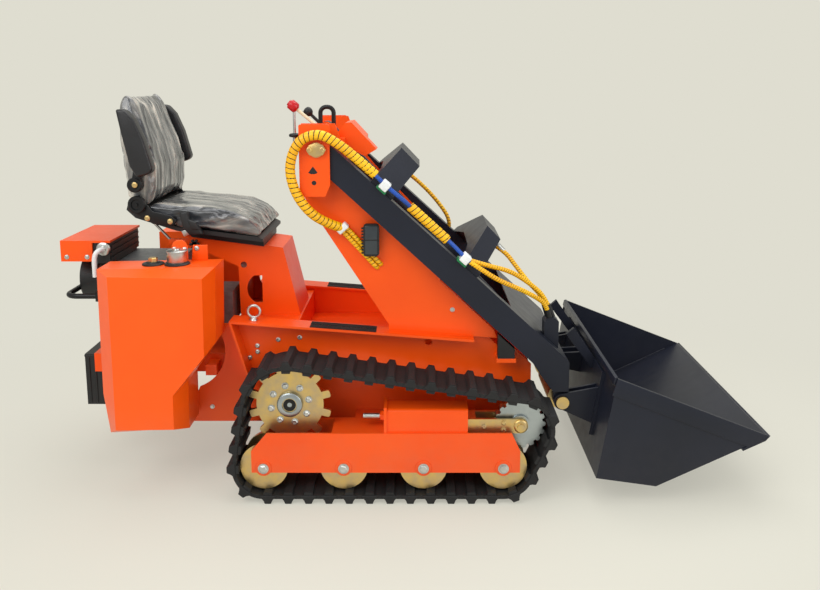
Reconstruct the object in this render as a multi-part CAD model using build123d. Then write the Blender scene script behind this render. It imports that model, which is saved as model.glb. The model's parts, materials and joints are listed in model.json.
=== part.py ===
from build123d import *
import os
from math import acos, asin, atan2, cos, degrees, hypot, pi, radians, sin

# Tracked mini loader. Millimetres, +X forward, +Y to its left, +Z up.
# The origin is on the ground, under the middle of the machine's box.
# X and Z below are places in that frame. Y sizes are distances from the middle plane.

os.makedirs("parts", exist_ok=True)

# Clearances
RUN = 0.06        # pins in their bores
SEAT = 0.3        # curved faces that lie against each other
SLIDE = 0.1       # rods in their glands

# Undercarriage
TRACK_OUT = 525.0         # outer edge of a track
TRACK_W = 180.0
PITCH = 71.0              # one lug and one drive bar each
LINKS = 37
TEETH = 12
BAR_FACE = 2.5            # from the pitch line out to the faces of the drive bars
BAR_H = 10.0
BELT_T = 14.0
LUG_H = 18.0
BAR_L = 32.0              # along the track
LUG_ROOT = 40.0
LUG_TIP = 20.0
SPROCKET_X, SPROCKET_Z = -392.0, 336.0
IDLER_X0, IDLER_Z = 420.0, 266.0
IDLER_R = 90.0
ROLLER_R = 84.0
ROLLER_XS = (-480.0, -201.0, 77.0, 355.0)
SPROCKET_T = 16.0
BEAM_T = 8.0              # plates of the roller beam
BEAM_BOTTOM, BEAM_TOP = 109.0, 253.0
FORK_L = 186.0            # from the idler's axle back to the tensioner

# Chassis
PLATE = 8.0               # thickness of the chassis plates
TRACK_GAP = 65.0          # from a track's inner edge to the chassis side web
WEB_OUT = TRACK_OUT - TRACK_W - TRACK_GAP
RAIL_IN, RAIL_OUT = WEB_OUT - 18, WEB_OUT + 72
RAIL_REAR_X, RAIL_REAR_Z = -617.0, 600.0
RAIL_FRONT_X, RAIL_FRONT_Z = 319.0, 527.0
FLOOR_Z = 205.0

# Boom and its linkage
PIVOT_X, PIVOT_Z = -290.0, 1222.0         # boom pivot
PIN_X, PIN_Z = 580.0, 309.0               # bucket pin
CRANK = 55.0                              # tilt cylinder pins stand this far above those two
SIDE_GAP = 5.0                            # between an arm and the plates beside it
TOWER_IN, TOWER_T = WEB_OUT + 12, 10.0
ARM_IN, ARM_T = TOWER_IN + TOWER_T + SIDE_GAP, 50.0
ARM_OUT = ARM_IN + ARM_T
BRACKET_IN, BRACKET_T = ARM_OUT + SIDE_GAP, 10.0
PIVOT_R, PIN_R = 18.0, 15.0
LIFT_Y = 110.0                            # lift cylinders stand this far off the middle
LIFT_BASE_X, LIFT_BASE_Z = 40.0, 430.0
LIFT_EYE_U, LIFT_EYE_N = 255.0, 65.0      # on the boom, along and above the line between its pins
LIFT_BARREL_R, LIFT_ROD_R = 30.0, 16.0
LIFT_BARREL_L = 440.0
TILT_BARREL_R, TILT_ROD_R = 27.0, 14.0
TILT_BARREL_L = 930.0

# Bucket
BUCKET_W = 1060.0
BUCKET_WALL = 8.0
BUCKET_TOP = (736.0, 459.0)
BUCKET_HEEL = (675.0, 98.0)
BUCKET_KNEE = (884.0, 68.0)
BUCKET_LIP = (1264.0, 252.0)

# Seat and rear
PEDESTAL_W = 254.0
SHEET = 5.0
TANK_IN = WEB_OUT + 20
TANK_OUT = TANK_IN + 200
TANK_WALL = 4.0
SEAT_W = 460.0


# Making and saving

def block(x0, x1, y0, y1, z0, z1):
    return Pos((x0 + x1) / 2, (y0 + y1) / 2, (z0 + z1) / 2) * Box(x1 - x0, y1 - y0, z1 - z0)


def outline(points, corner=0.0):
    """Closed outline in X and Z, with every corner rounded if asked."""
    face = make_face(Polyline(*points, close=True))
    if corner:
        face = fillet(face.vertices(), corner)
    return face


def across(face, y0, y1):
    """An X-Z outline carried from y0 to y1."""
    return Pos(0, y0, 0) * extrude(Plane.XZ * face, amount=y1 - y0, dir=(0, 1, 0))


def slab(points, y0, y1, corner=0.0):
    return across(outline(points, corner), y0, y1)


def rod_y(x, z, r, y0, y1):
    return Pos(x, (y0 + y1) / 2, z) * Rot(90, 0, 0) * Cylinder(r, y1 - y0)


def rod_x(y, z, r, x0, x1):
    return Pos((x0 + x1) / 2, y, z) * Rot(0, 90, 0) * Cylinder(r, x1 - x0)


def rod_z(x, y, r, z0, z1):
    return Pos(x, y, (z0 + z1) / 2) * Cylinder(r, z1 - z0)


def rod_between(x0, z0, x1, z1, y, r, start, end):
    """A round bar in the plane y, from start to end along the line between two points."""
    length = hypot(x1 - x0, z1 - z0)
    turn = degrees(atan2(x1 - x0, z1 - z0))
    bar = Pos(0, 0, (start + end) / 2) * Cylinder(r, end - start)
    return Pos(x0, y, z0) * Rot(0, turn, 0) * bar


def pipe(points, radii, r):
    """A round tube along straight runs and tangent arcs."""
    path = FilletPolyline(*points, radius=radii)
    start = Plane(origin=path @ 0, z_dir=path % 0)
    return sweep(start * Circle(r), path=path)


def flip(solid):
    return mirror(solid, about=Plane.XZ)


def save(name, *shapes):
    solids = [s for shape in shapes for s in shape.solids()]
    export_step(Compound(solids), f"parts/{name}.step")


def save_both(name, shape):
    """One node of two like pieces, right and left."""
    save(name, shape, flip(shape))


def save_sides(name, shape):
    """Two nodes, right and left."""
    save(f"{name}_right", shape)
    save(f"{name}_left", flip(shape))


# The track's line round its wheels

def wheel_circles(idler_x):
    """Pitch-line circles, counter-clockwise as seen from the right: x, z, radius."""
    roller = ROLLER_R - BAR_FACE
    roller_z = roller + BAR_FACE + BAR_H + BELT_T + LUG_H
    return [
        (ROLLER_XS[0], roller_z, roller),
        (ROLLER_XS[-1], roller_z, roller),
        (idler_x, IDLER_Z, IDLER_R - BAR_FACE),
        (SPROCKET_X, SPROCKET_Z, TEETH * PITCH / (2 * pi)),
    ]


def tangents(circles):
    """Outward angle of the straight run that follows each circle."""
    angles = []
    for (x0, z0, r0), (x1, z1, r1) in zip(circles, circles[1:] + circles[:1]):
        heading = atan2(z1 - z0, x1 - x0)
        angles.append(heading - pi / 2 + asin((r0 - r1) / hypot(x1 - x0, z1 - z0)))
    return angles


def loop_runs(circles):
    """Arc of each circle, then the straight run to the next: centre, radius, first and last angle, run."""
    angles = tangents(circles)
    runs = []
    for i, (x, z, r) in enumerate(circles):
        first, last = angles[i - 1], angles[i]
        while last < first:
            last += 2 * pi
        nx, nz, nr = circles[(i + 1) % len(circles)]
        straight = hypot(nx + nr * cos(last) - x - r * cos(last), nz + nr * sin(last) - z - r * sin(last))
        runs.append((x, z, r, first, last, straight))
    return runs


def loop_length(circles):
    return sum(r * (last - first) + straight for _, _, r, first, last, straight in loop_runs(circles))


def tensioned_idler():
    """The tensioner pushes the idler out until the line is a whole number of links."""
    low, high = IDLER_X0 - 200, IDLER_X0 + 200
    for _ in range(50):
        middle = (low + high) / 2
        if loop_length(wheel_circles(middle)) < LINKS * PITCH:
            low = middle
        else:
            high = middle
    return (low + high) / 2


def loop_face(circles, grow):
    """The area inside the line, moved out by grow."""
    edges = []
    for x, z, r, first, last, straight in loop_runs(circles):
        r += grow
        ends = [(x + r * cos(a), z + r * sin(a)) for a in (first, (first + last) / 2, last)]
        edges.append(ThreePointArc(*ends))
        away = (ends[2][0] - straight * sin(last), ends[2][1] + straight * cos(last))
        edges.append(Line(ends[2], away))
    return make_face(edges)


def at_length(circles, s):
    """Point on the line and its outward angle, s along from the first circle's arc."""
    runs = loop_runs(circles)
    s %= sum(r * (last - first) + straight for _, _, r, first, last, straight in runs)
    for x, z, r, first, last, straight in runs:
        arc = r * (last - first)
        if s < arc:
            angle = first + s / r
            return x + r * cos(angle), z + r * sin(angle), angle
        s -= arc
        if s < straight:
            return x + r * cos(last) - s * sin(last), z + r * sin(last) + s * cos(last), last
        s -= straight


def trapezium(x, z, angle, n0, n1, l0, l1):
    """A tooth on the line: from n0 to n1 outwards, l0 long at n0 and l1 long at n1."""
    points = []
    for n, t in ((n0, -l0 / 2), (n0, l0 / 2), (n1, l1 / 2), (n1, -l1 / 2)):
        points.append((x + n * cos(angle) - t * sin(angle), z + n * sin(angle) + t * cos(angle)))
    return outline(points)


IDLER_X = tensioned_idler()
CIRCLES = wheel_circles(IDLER_X)
GROUND_TO_AXLE = CIRCLES[0][1]
BELT_IN = BAR_FACE + BAR_H
BELT_OUT = BELT_IN + BELT_T
LUG_OUT = BELT_OUT + LUG_H
TRACK_MID = TRACK_OUT - TRACK_W / 2


def sprocket_start():
    """Length along the line to the sprocket's rearmost point, where a drive bar lies."""
    runs = loop_runs(CIRCLES)
    before = sum(r * (last - first) + straight for _, _, r, first, last, straight in runs[:3])
    _, _, r, first, last, _ = runs[3]
    return before + r * (pi - first)


def track():
    belt = loop_face(CIRCLES, BELT_OUT) - loop_face(CIRCLES, BELT_IN)
    teeth = []
    for k in range(LINKS):
        x, z, angle = at_length(CIRCLES, sprocket_start() + k * PITCH)
        teeth.append(trapezium(x, z, angle, BELT_OUT - 3, LUG_OUT, LUG_ROOT, LUG_TIP))
        teeth.append(trapezium(x, z, angle, BAR_FACE, BELT_IN + 3, BAR_L - 4, BAR_L))
    return across(belt + teeth, -TRACK_OUT, TRACK_W - TRACK_OUT)


def toothed(x, z, count, root, tip, width, first):
    """Wheel outline with straight-sided teeth."""
    face = Pos(x, z) * Circle(root)
    for k in range(count):
        angle = degrees(first) + 360 * k / count
        tooth = Rot(0, 0, angle) * Pos((root + tip) / 2 - 5, 0) * RectangleRounded(tip - root + 10, width, 7)
        face += Pos(x, z) * tooth
    return face


def sprocket():
    tip = CIRCLES[3][2] + BELT_IN - 2
    root = tip - 28
    face = toothed(SPROCKET_X, SPROCKET_Z, TEETH, root, tip, 26, pi + pi / TEETH)
    y = -TRACK_MID
    wheel = across(face, y - SPROCKET_T / 2, y + SPROCKET_T / 2)
    wheel += rod_y(SPROCKET_X, SPROCKET_Z, 40, y - SPROCKET_T / 2 - 14, y)
    wheel -= rod_y(SPROCKET_X, SPROCKET_Z, 23, y - SPROCKET_T / 2 - 14, y - SPROCKET_T / 2)
    return wheel


def drive_motor():
    y = -TRACK_MID + SPROCKET_T / 2
    motor = rod_y(SPROCKET_X, SPROCKET_Z, 78, y, y + 40)
    motor += rod_y(SPROCKET_X, SPROCKET_Z, 62, y + 40, -WEB_OUT)
    return motor


def idler():
    y = -TRACK_MID
    face = toothed(IDLER_X, IDLER_Z, 18, IDLER_R - 10, IDLER_R - SEAT, 18, 0)
    wheel = across(face, y - 20, y + 20)
    wheel += rod_y(IDLER_X, IDLER_Z, 34, y - 30, y + 30)
    return wheel


def fork():
    y = -TRACK_MID
    rear = IDLER_X - FORK_L
    arm = block(rear, IDLER_X, y - 42, y - 30, IDLER_Z - 26, IDLER_Z + 26)
    arm += rod_y(IDLER_X, IDLER_Z, 26, y - 42, y - 30)
    arms = arm + Pos(0, 72, 0) * arm
    return arms + block(rear, rear + 30, y - 42, y + 42, IDLER_Z - 26, IDLER_Z + 26)


def beam():
    outer = -TRACK_OUT + 15
    inner = -TRACK_OUT + TRACK_W - 18
    first, last = ROLLER_XS[0] - 42, ROLLER_XS[-1] + 58
    side = [
        (first, BEAM_BOTTOM), (last, BEAM_BOTTOM), (last, BEAM_TOP - 65), (last - 30, BEAM_TOP),
        (first + 55, BEAM_TOP), (first, BEAM_TOP - 65),
    ]
    body = slab(side, outer, outer + BEAM_T)
    body += slab(side, inner - BEAM_T, inner)
    top_first = SPROCKET_X + 150
    body += block(top_first, IDLER_X - FORK_L - 1, outer, inner, BEAM_TOP - BEAM_T, BEAM_TOP)
    for x in ROLLER_XS:
        body += rod_y(x, GROUND_TO_AXLE, 26, outer - 4, outer)
        body += rod_y(x, GROUND_TO_AXLE, 12, outer - 14, outer - 4)
    for x in (-120.0, 220.0):
        body += block(x - 50, x + 50, inner, -WEB_OUT, BEAM_TOP - 60, BEAM_TOP)
    return body


def rollers():
    outer = -TRACK_OUT + 15 + BEAM_T
    inner = -TRACK_OUT + TRACK_W - 18 - BEAM_T
    middle = (outer + inner) / 2
    shapes = []
    for x in ROLLER_XS:
        wheel = rod_y(x, GROUND_TO_AXLE, 20, outer, inner)
        wheel += rod_y(x, GROUND_TO_AXLE, 52, outer + 8, inner - 8)
        for y in (outer + 17, inner - 17):
            wheel += rod_y(x, GROUND_TO_AXLE, ROLLER_R - SEAT, y - 9, y + 9)
        shapes.append(wheel)
    return shapes


def tensioner():
    outer = -TRACK_OUT + 25
    front = IDLER_X - FORK_L
    rear = front - 281
    y1 = outer + 100
    box = block(rear, front, outer, y1, BEAM_TOP, IDLER_Z + 70)
    box = fillet(box.edges().filter_by(Axis.X).group_by(Axis.Z)[-1], 14)
    box += block(rear - 10, rear, outer - 6, y1, BEAM_TOP, IDLER_Z + 78)
    screw_y = (outer + y1) / 2
    screw_z = (BEAM_TOP + IDLER_Z + 70) / 2
    box += rod_x(screw_y, screw_z, 9, rear - 84, rear - 10)
    box += Pos(rear - 24, screw_y, screw_z) * Rot(0, 90, 0) * extrude(RegularPolygon(17, 6), 14, both=False)
    return box


for side_name, shape in (("track", track()),):
    save_sides(side_name, shape)
save_both("drive_sprockets", sprocket())
save_both("drive_motors", drive_motor())
save_both("front_idlers", idler())
save_both("idler_forks", fork())
save_both("roller_beams", beam())
save_both("track_tensioners", tensioner())
ROLLERS = rollers()
save("track_rollers", *ROLLERS, *[flip(r) for r in ROLLERS])


# Chassis

def rail_z(x):
    return RAIL_REAR_Z + (RAIL_FRONT_Z - RAIL_REAR_Z) * (x - RAIL_REAR_X) / (RAIL_FRONT_X - RAIL_REAR_X)


WEB = [
    (RAIL_REAR_X, RAIL_REAR_Z), (RAIL_FRONT_X, RAIL_FRONT_Z), (382, 463), (413, 487), (474, 427),
    (475, 300), (430, FLOOR_Z), (-520, FLOOR_Z), (-557, 393),
]


def rail():
    web = slab(WEB, -WEB_OUT, PLATE - WEB_OUT)
    web -= rod_y(96, 511, 13, -WEB_OUT, PLATE - WEB_OUT)
    top = [
        (RAIL_REAR_X, rail_z(RAIL_REAR_X)), (RAIL_FRONT_X - 60, rail_z(RAIL_FRONT_X - 60)),
        (RAIL_FRONT_X - 60, rail_z(RAIL_FRONT_X - 60) + PLATE), (RAIL_REAR_X, rail_z(RAIL_REAR_X) + PLATE),
    ]
    web += slab(top, -RAIL_OUT, -RAIL_IN)
    rear = [
        (RAIL_REAR_X, RAIL_REAR_Z), (-557, 393), (-557 + PLATE, 393), (RAIL_REAR_X + PLATE, RAIL_REAR_Z),
    ]
    web += slab(rear, -RAIL_OUT, -WEB_OUT)
    web += block(340, 410, -RAIL_OUT, -WEB_OUT, 455, 470)
    return web



INSIDE = WEB_OUT - PLATE
DECK_Z = 571.0            # top of the deck under the seat
WELL_Z = 470.0            # floor of the foot well
WELL_REAR, WELL_FRONT = -385.0, -48.0
BULKHEAD_X = -612.0

save_sides("chassis_rail", rail())
save("chassis_floor", block(-515, 417, -INSIDE, INSIDE, FLOOR_Z, FLOOR_Z + PLATE))
front_wall = [(417, FLOOR_Z), (425, FLOOR_Z), (470, 300), (470, 424), (462, 424), (462, 302), (417, FLOOR_Z + PLATE)]
save("chassis_front_plate", slab(front_wall, -INSIDE, INSIDE))
deck = block(BULKHEAD_X - 8, WELL_REAR, -INSIDE, INSIDE, DECK_Z - PLATE, DECK_Z)
deck += block(WELL_REAR - PLATE, WELL_REAR, -INSIDE, INSIDE, WELL_Z - PLATE, DECK_Z)
deck += block(WELL_REAR, WELL_FRONT, -INSIDE, INSIDE, WELL_Z - PLATE, WELL_Z)
bulkhead = block(BULKHEAD_X, BULKHEAD_X + PLATE, -INSIDE, INSIDE, 380, DECK_Z - PLATE)
save("seat_deck", deck, bulkhead)
anchor_shaft = rod_y(LIFT_BASE_X, LIFT_BASE_Z, 20, -INSIDE, INSIDE)


EYE_X, EYE_Y = -537.0, (RAIL_IN + RAIL_OUT) / 2
EYE_BORE, EYE_RING = 17.0, 27.0
RAIL_SLOPE = degrees(atan2(RAIL_REAR_Z - RAIL_FRONT_Z, RAIL_FRONT_X - RAIL_REAR_X))


def lifting_eye():
    eye = rod_z(0, 0, 14, 0, 8)
    eye += rod_y(0, 8 + EYE_RING - 3, EYE_RING, -5, 5)
    eye -= rod_y(0, 8 + EYE_RING - 3, EYE_BORE, -5, 5)
    return Pos(EYE_X, -EYE_Y, rail_z(EYE_X) + PLATE) * Rot(0, RAIL_SLOPE, 0) * eye


save_both("lifting_eyes", lifting_eye())


def rear_side():
    """Side plate behind the track, with the curved cut-out, below the tank."""
    side = outline([(-557, 393), (-617, 600), (-660, 560), (-660, 520), (-776, 282), (-790, 205), (-520, 205)])
    side -= Pos(-800, 480) * Circle(150)
    return across(side, -WEB_OUT, -INSIDE)


save_both("rear_side_plates", rear_side())

CARRIER_Z = 452.0
CARRIER_Y = WEB_OUT - 60
carrier = block(-1150, BULKHEAD_X, -CARRIER_Y, CARRIER_Y, CARRIER_Z - 10, CARRIER_Z)
for y in (-CARRIER_Y - 14, CARRIER_Y):
    carrier += block(-1150, BULKHEAD_X, y, y + 14, CARRIER_Z - 70, CARRIER_Z)
for x in (-1000, -720):
    carrier += block(x, x + 40, -TANK_IN, -CARRIER_Y, CARRIER_Z - 62, CARRIER_Z - 22)
    carrier += block(x, x + 40, CARRIER_Y, TANK_IN, CARRIER_Z - 62, CARRIER_Z - 22)
save("engine_carrier", carrier)


# Boom places

BOOM_L = hypot(PIN_X - PIVOT_X, PIN_Z - PIVOT_Z)
U = ((PIN_X - PIVOT_X) / BOOM_L, (PIN_Z - PIVOT_Z) / BOOM_L)
N = (-U[1], U[0])
TILT_X, TILT_Z = PIVOT_X, PIVOT_Z + CRANK
EAR_X, EAR_Z = PIN_X, PIN_Z + CRANK


def on_boom(u, n):
    """X and Z of a place on the boom, from its pivot: u along to the bucket pin, n above that line."""
    return PIVOT_X + u * U[0] + n * N[0], PIVOT_Z + u * U[1] + n * N[1]


LIFT_EYE_X, LIFT_EYE_Z = on_boom(LIFT_EYE_U, LIFT_EYE_N)


# Towers

TOWER = [
    (-350, 1308), (-350, 1060), (-297, 972), (-48, 585), (-48, rail_z(-48) + PLATE),
    (259, rail_z(259) + PLATE), (344, 533), (333, 564), (138, 744), (88, 885), (-122, 1105), (-190, 1185), (-232, 1308),
]


def tower():
    plate = slab(TOWER, -TOWER_IN - TOWER_T, -TOWER_IN)
    outer = BRACKET_IN + BRACKET_T
    plate += slab([(-350, 1308), (-350, 1060), (-262, 1060), (-245, 1100), (-245, 1308)], -outer, -BRACKET_IN, 6)
    plate += block(-350, -342, -outer + 4, -TOWER_IN, 1066, 1302)
    plate -= rod_y(PIVOT_X, PIVOT_Z, PIVOT_R, -outer, -TOWER_IN)
    return plate


save_sides("tower", tower())
pin_out = BRACKET_IN + BRACKET_T + 8
pivot_pin = rod_y(PIVOT_X, PIVOT_Z, PIVOT_R, -pin_out, -TOWER_IN)
pivot_pin += rod_y(PIVOT_X, PIVOT_Z, PIVOT_R + 8, -pin_out, -pin_out + 8)

panel = [(-297, 972), (-48, 585), (-48, WELL_Z), (-42, WELL_Z), (-42, 587), (-291, 976)]
leg_panel = slab(panel, -RAIL_IN, RAIL_IN)
leg_panel += slab([(-297, 972), (-60, 604), (-54, 607), (-291, 976)], -TOWER_IN, TOWER_IN)
save("leg_panel", leg_panel)

HEAD_FRONT, HEAD_TOP = -322.0, 1285.0
head = block(-350, HEAD_FRONT, -TOWER_IN, TOWER_IN, 1225, HEAD_TOP)
for y in (-42, 30):
    lug = Pos(TILT_X, TILT_Z) * Circle(24)
    lug += outline([(HEAD_FRONT, 1230), (HEAD_FRONT, HEAD_TOP), (TILT_X, TILT_Z + 24), (TILT_X + 14, TILT_Z - 20)])
    head += across(lug, y, y + 12)
head -= rod_y(TILT_X, TILT_Z, 14, -42, 42)
save("head_beam", head)
tilt_pin = rod_y(TILT_X, TILT_Z, 14, -48, 48)
for y in (-48, 42):
    tilt_pin += rod_y(TILT_X, TILT_Z, 19, y, y + 6)
save("linkage_pins", pivot_pin, flip(pivot_pin), tilt_pin, anchor_shaft)

tower_out = TOWER_IN + TOWER_T
lamp = block(-135, -79, -tower_out - 38, -tower_out - 20, 843, 959)
lamp = fillet(lamp.edges().filter_by(Axis.Y), 12)
lamp += block(-118, -96, -tower_out - 20, -tower_out, 880, 922)
save_both("work_lamps", lamp)

REST = [(345, 470), (405, 470), (405, 505), (345, 560)]
rest = slab(REST, -RAIL_OUT + 2, -WEB_OUT - 32)
save_both("boom_rests", rest)


# Controls

CONSOLE = [(-242, 1258), (-201, 1306), (-180, 1309), (-95, 1218), (-90, 1213), (-133, 1188), (-225, 1236)]
CONSOLE_SHORT = [(-242, 1258), (-201, 1306), (-180, 1309), (-130, 1255), (-130, 1191), (-133, 1188), (-225, 1236)]
console = slab(CONSOLE, -235, -150)
console += slab(CONSOLE_SHORT, -150, -55)
console += block(HEAD_FRONT, -225, -235, -55, 1236, 1258)
console += block(-240, -200, -TOWER_IN, -235, 1226, 1256)
save("control_console", console)


def lever(x0, z0, x1, z1, y, r, knob):
    """Shaft in a rubber boot, with a ball knob."""
    length = hypot(x1 - x0, z1 - z0)
    shaft = Pos(0, 0, (10 + length) / 2) * Cylinder(r, length - 10) + Pos(0, 0, length) * Sphere(knob)
    shaft = Pos(x0, y, z0) * Rot(0, degrees(atan2(x1 - x0, z1 - z0)), 0) * shaft
    return shaft + rod_z(x0, y, 15, z0, z0 + 14)


LEVERS = [
    # foot X and Z, knob X and Z, Y, shaft radius, knob radius
    (-272, 1258, -404, 1368, -200, 6, 19),
    (-262, 1258, -353, 1346, -110, 6, 17),
]
levers = [lever(*row) for row in LEVERS]
levers.append(rod_x(-150, 1258, 6, -400, -350) + rod_z(-403, -150, 21, 1253, 1263))
save("control_levers", *levers)
grip = pipe([(-298, -150, 1258), (-298, -150, 1360), (-250, -150, 1360), (-250, -150, 1258)], 22, 8)
save("grab_handle", grip)


# Seat

PEDESTAL = [(-810, 881), (-452, 833), (-391, DECK_Z), (-619, DECK_Z), (-622, 761), (-805, 845)]
PEDESTAL_IN = [(-802, 874), (-456, 828), (-398, DECK_Z - 1), (-614, DECK_Z - 1), (-617, 764), (-800, 848)]
half = PEDESTAL_W / 2
pedestal = slab(PEDESTAL, -half, half)
pedestal -= slab(PEDESTAL_IN, -half + SHEET, half - SHEET)
moon = Pos(-530, 673) * Circle(62) & Pos(-572, 673) * Rectangle(76, 105)
pedestal -= across(moon, -half, half)
pedestal -= rod_y(-602, 767, 12, -half, half)
save("seat_pedestal", pedestal)


def top_of_pedestal(x):
    return 881 - (x + 810) * 48 / 358


def under_pan(x):
    return 912 - (x + 826) * 42.5 / 314


base = [(-790, top_of_pedestal(-790)), (-520, top_of_pedestal(-520)), (-520, under_pan(-520)), (-790, under_pan(-790))]
save("seat_base", slab(base, -150, 150))
half = SEAT_W / 2
PAN_TOP = [(-530, 890), (-600, 898), (-820, 926), (-925, 968)]
cushion = [(-922, 1003), (-690, 992), (-620, 980), (-560, 950), (-518, 908), *PAN_TOP]
save("seat_cushion", slab(cushion, -half, half))
back = [
    (-930, 1000), (-905, 1055), (-900, 1147), (-918, 1224), (-945, 1302), (-965, 1366), (-985, 1406), (-1003, 1407),
    (-1017, 1380), (-1017, 1240), (-1009, 1136), (-997, 1020),
]
ARMREST_X, ARMREST_Z, ARMREST_PIN = -954.0, 1087.0, 10.0
seat_back = slab(back, -half, half)
seat_back += rod_y(ARMREST_X, ARMREST_Z, ARMREST_PIN, -half - 42, half + 42)
save("seat_back", seat_back)
shell = [
    (-930, 1000), (-997, 1020), (-1006, 990), (-975, 960), (-826, under_pan(-826)), (-512, under_pan(-512)), (-512, 880), *PAN_TOP,
]
pan = slab(shell, -half + 20, half - 20)
pan += rod_y(-962, 1012, 30, -half - 4, -half + 20)
pan += rod_y(-962, 1012, 30, half - 20, half + 4)
save("seat_shell", pan - seat_back)

rest_in = half + 6
arm_pad = [
    (-1002, 1360), (-966, 1357), (-935, 1323), (-905, 1251), (-877, 1143), (-889, 1126), (-940, 1112), (-964, 1155), (-988, 1273),
]
armrest = slab(arm_pad, -half - 62, -rest_in, 4)
armrest += slab([(-966, 1090), (-942, 1090), (-930, 1130), (-960, 1140)], -half - 36, -rest_in)
armrest += rod_y(ARMREST_X, ARMREST_Z, 27, -half - 40, -rest_in)
armrest -= rod_y(ARMREST_X, ARMREST_Z, ARMREST_PIN + RUN, -half - 42, -rest_in)
save_sides("armrest", armrest)


# Tanks and engine

TANK_FACE = [(-988, 805), (-669, 798), (-673, 525), (-787, 385), (-788, 263), (-990, 260), (-989, 385)]
TANK_BODY = [(-1045, 817), (-638, 826), (-646, 558), (-749, 418), (-751, 243), (-1031, 226), (-1049, 371)]
TANK_VOID = [(-1040, 812), (-643, 821), (-651, 560), (-754, 420), (-756, 248), (-1026, 232), (-1044, 371)]
TANK_EDGE = TANK_OUT - 65
CAP_X, CAP_Y, CAP_Z = -869.0, TANK_IN + 70, 821.0


def tank():
    front = Plane.XZ.offset(TANK_OUT) * outline(TANK_FACE)
    rear = Plane.XZ.offset(TANK_EDGE) * outline(TANK_BODY)
    body = loft([front, rear], ruled=True)
    body += slab(TANK_BODY, -TANK_EDGE, -TANK_IN)
    body -= slab(TANK_VOID, -TANK_EDGE, -TANK_IN - TANK_WALL)
    body -= rod_z(CAP_X, -CAP_Y, 22, 790, 840)
    return body


save_sides("tank", tank())
cap = rod_z(CAP_X, -CAP_Y, 38, CAP_Z, CAP_Z + 26)
breather = rod_z(-783, -CAP_Y, 40, CAP_Z + 2, CAP_Z + 40) + Pos(-783, -CAP_Y, CAP_Z + 34) * Sphere(40)
keep = block(-1100, -600, -600, 0, CAP_Z, 900) - slab(TANK_BODY, -TANK_OUT, -TANK_IN)
save("tank_fittings", cap & keep, flip(cap & keep), breather & keep)

engine = block(-1140, -860, -170, 170, CARRIER_Z, 778)
engine = chamfer(engine.edges().filter_by(Axis.X), 30)
save("engine_block", engine)
save("fan_housing", rod_x(0, 694, 88, -1240, -1140))
cover = block(-1262, -1145, -200, 150, 795, 873)
cover += block(-1145, -1078, -200, 150, 865, 873)
save("engine_cover", cover)
cleaner = block(-1145, -1084, -190, 145, 786, 865)
cleaner += block(-1138, -1084, -120, 120, 778, 786)
for z in (800, 822, 844):
    cleaner += block(-1084, -1079, -180, 135, z, z + 8)
save("air_cleaner", cleaner)
guard = pipe([(-1140, -200, 663), (-1256, -200, 663), (-1256, 200, 663), (-1140, 200, 663)], 45, 10)
for y in (-212, 170):
    guard += block(-1140, -1120, y, y + 42, 645, 681)
save("engine_guard", guard)
save("battery_box", block(-1195, -1000, -210, -40, 244, CARRIER_Z - 10))
pump = block(-713, -637, -180, -20, 554, 677)
pump += rod_x(-100, 615, 32, -860, -713)
save("hydraulic_pump", pump)


# Boom

BOOM = Pos(PIVOT_X, 0, PIVOT_Z) * Rot(0, degrees(atan2(-U[1], U[0])), 0)
ARM_END_R = 46.0
LUG_IN, LUG_OUT_Y = ARM_IN + 15, ARM_OUT - 15
EAR_R = 30.0
FOOT_Z, FOOT_X = 348.0, 602.0


def arm_top(x):
    return 1233 - (x + 240) * (1233 - 464) / (598 + 240)


def arm():
    side = Pos(PIVOT_X, PIVOT_Z) * Circle(ARM_END_R)
    side += outline([
        (-262, arm_top(-262)), (FOOT_X - 4, arm_top(FOOT_X - 4)), (FOOT_X, arm_top(FOOT_X) - 4), (FOOT_X, FOOT_Z),
        (545, FOOT_Z), (510, 395), (470, 456), (-321, 1188),
    ])
    body = across(side, -ARM_OUT, -ARM_IN)
    tongue = Pos(PIN_X, PIN_Z) * Circle(EAR_R)
    tongue += outline([(PIN_X - EAR_R, PIN_Z), (PIN_X + EAR_R, PIN_Z), (FOOT_X, FOOT_Z + 4), (548, FOOT_Z + 4)])
    body += across(tongue, -LUG_OUT_Y, -LUG_IN)
    body -= rod_y(PIVOT_X, PIVOT_Z, PIVOT_R + RUN, -ARM_OUT, -ARM_IN)
    body -= rod_y(PIN_X, PIN_Z, PIN_R + RUN, -ARM_OUT, -ARM_IN)
    return body


ARM = arm()
save_sides("boom_arm", ARM)

ARCHES = [
    # first and last u, underside and top n, foot n
    (207.0, 303.0, 93.0, 200.0, 44.0),
    (640.0, 712.0, 128.0, 231.0, 74.0),
]


def arch(u0, u1, under, top, foot):
    side = [
        (-ARM_OUT + 6, foot), (-ARM_OUT + 6, foot + 30), (-132, top), (132, top), (ARM_OUT - 6, foot + 30),
        (ARM_OUT - 6, foot), (ARM_IN + 1, foot), (ARM_IN + 1, foot + 14), (132, under), (-132, under),
        (-ARM_IN - 1, foot + 14), (-ARM_IN - 1, foot),
    ]
    face = make_face(Polyline(*side, close=True))
    return Pos(u0, 0, 0) * extrude(Plane.YZ * face, amount=u1 - u0, dir=(1, 0, 0))


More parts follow.
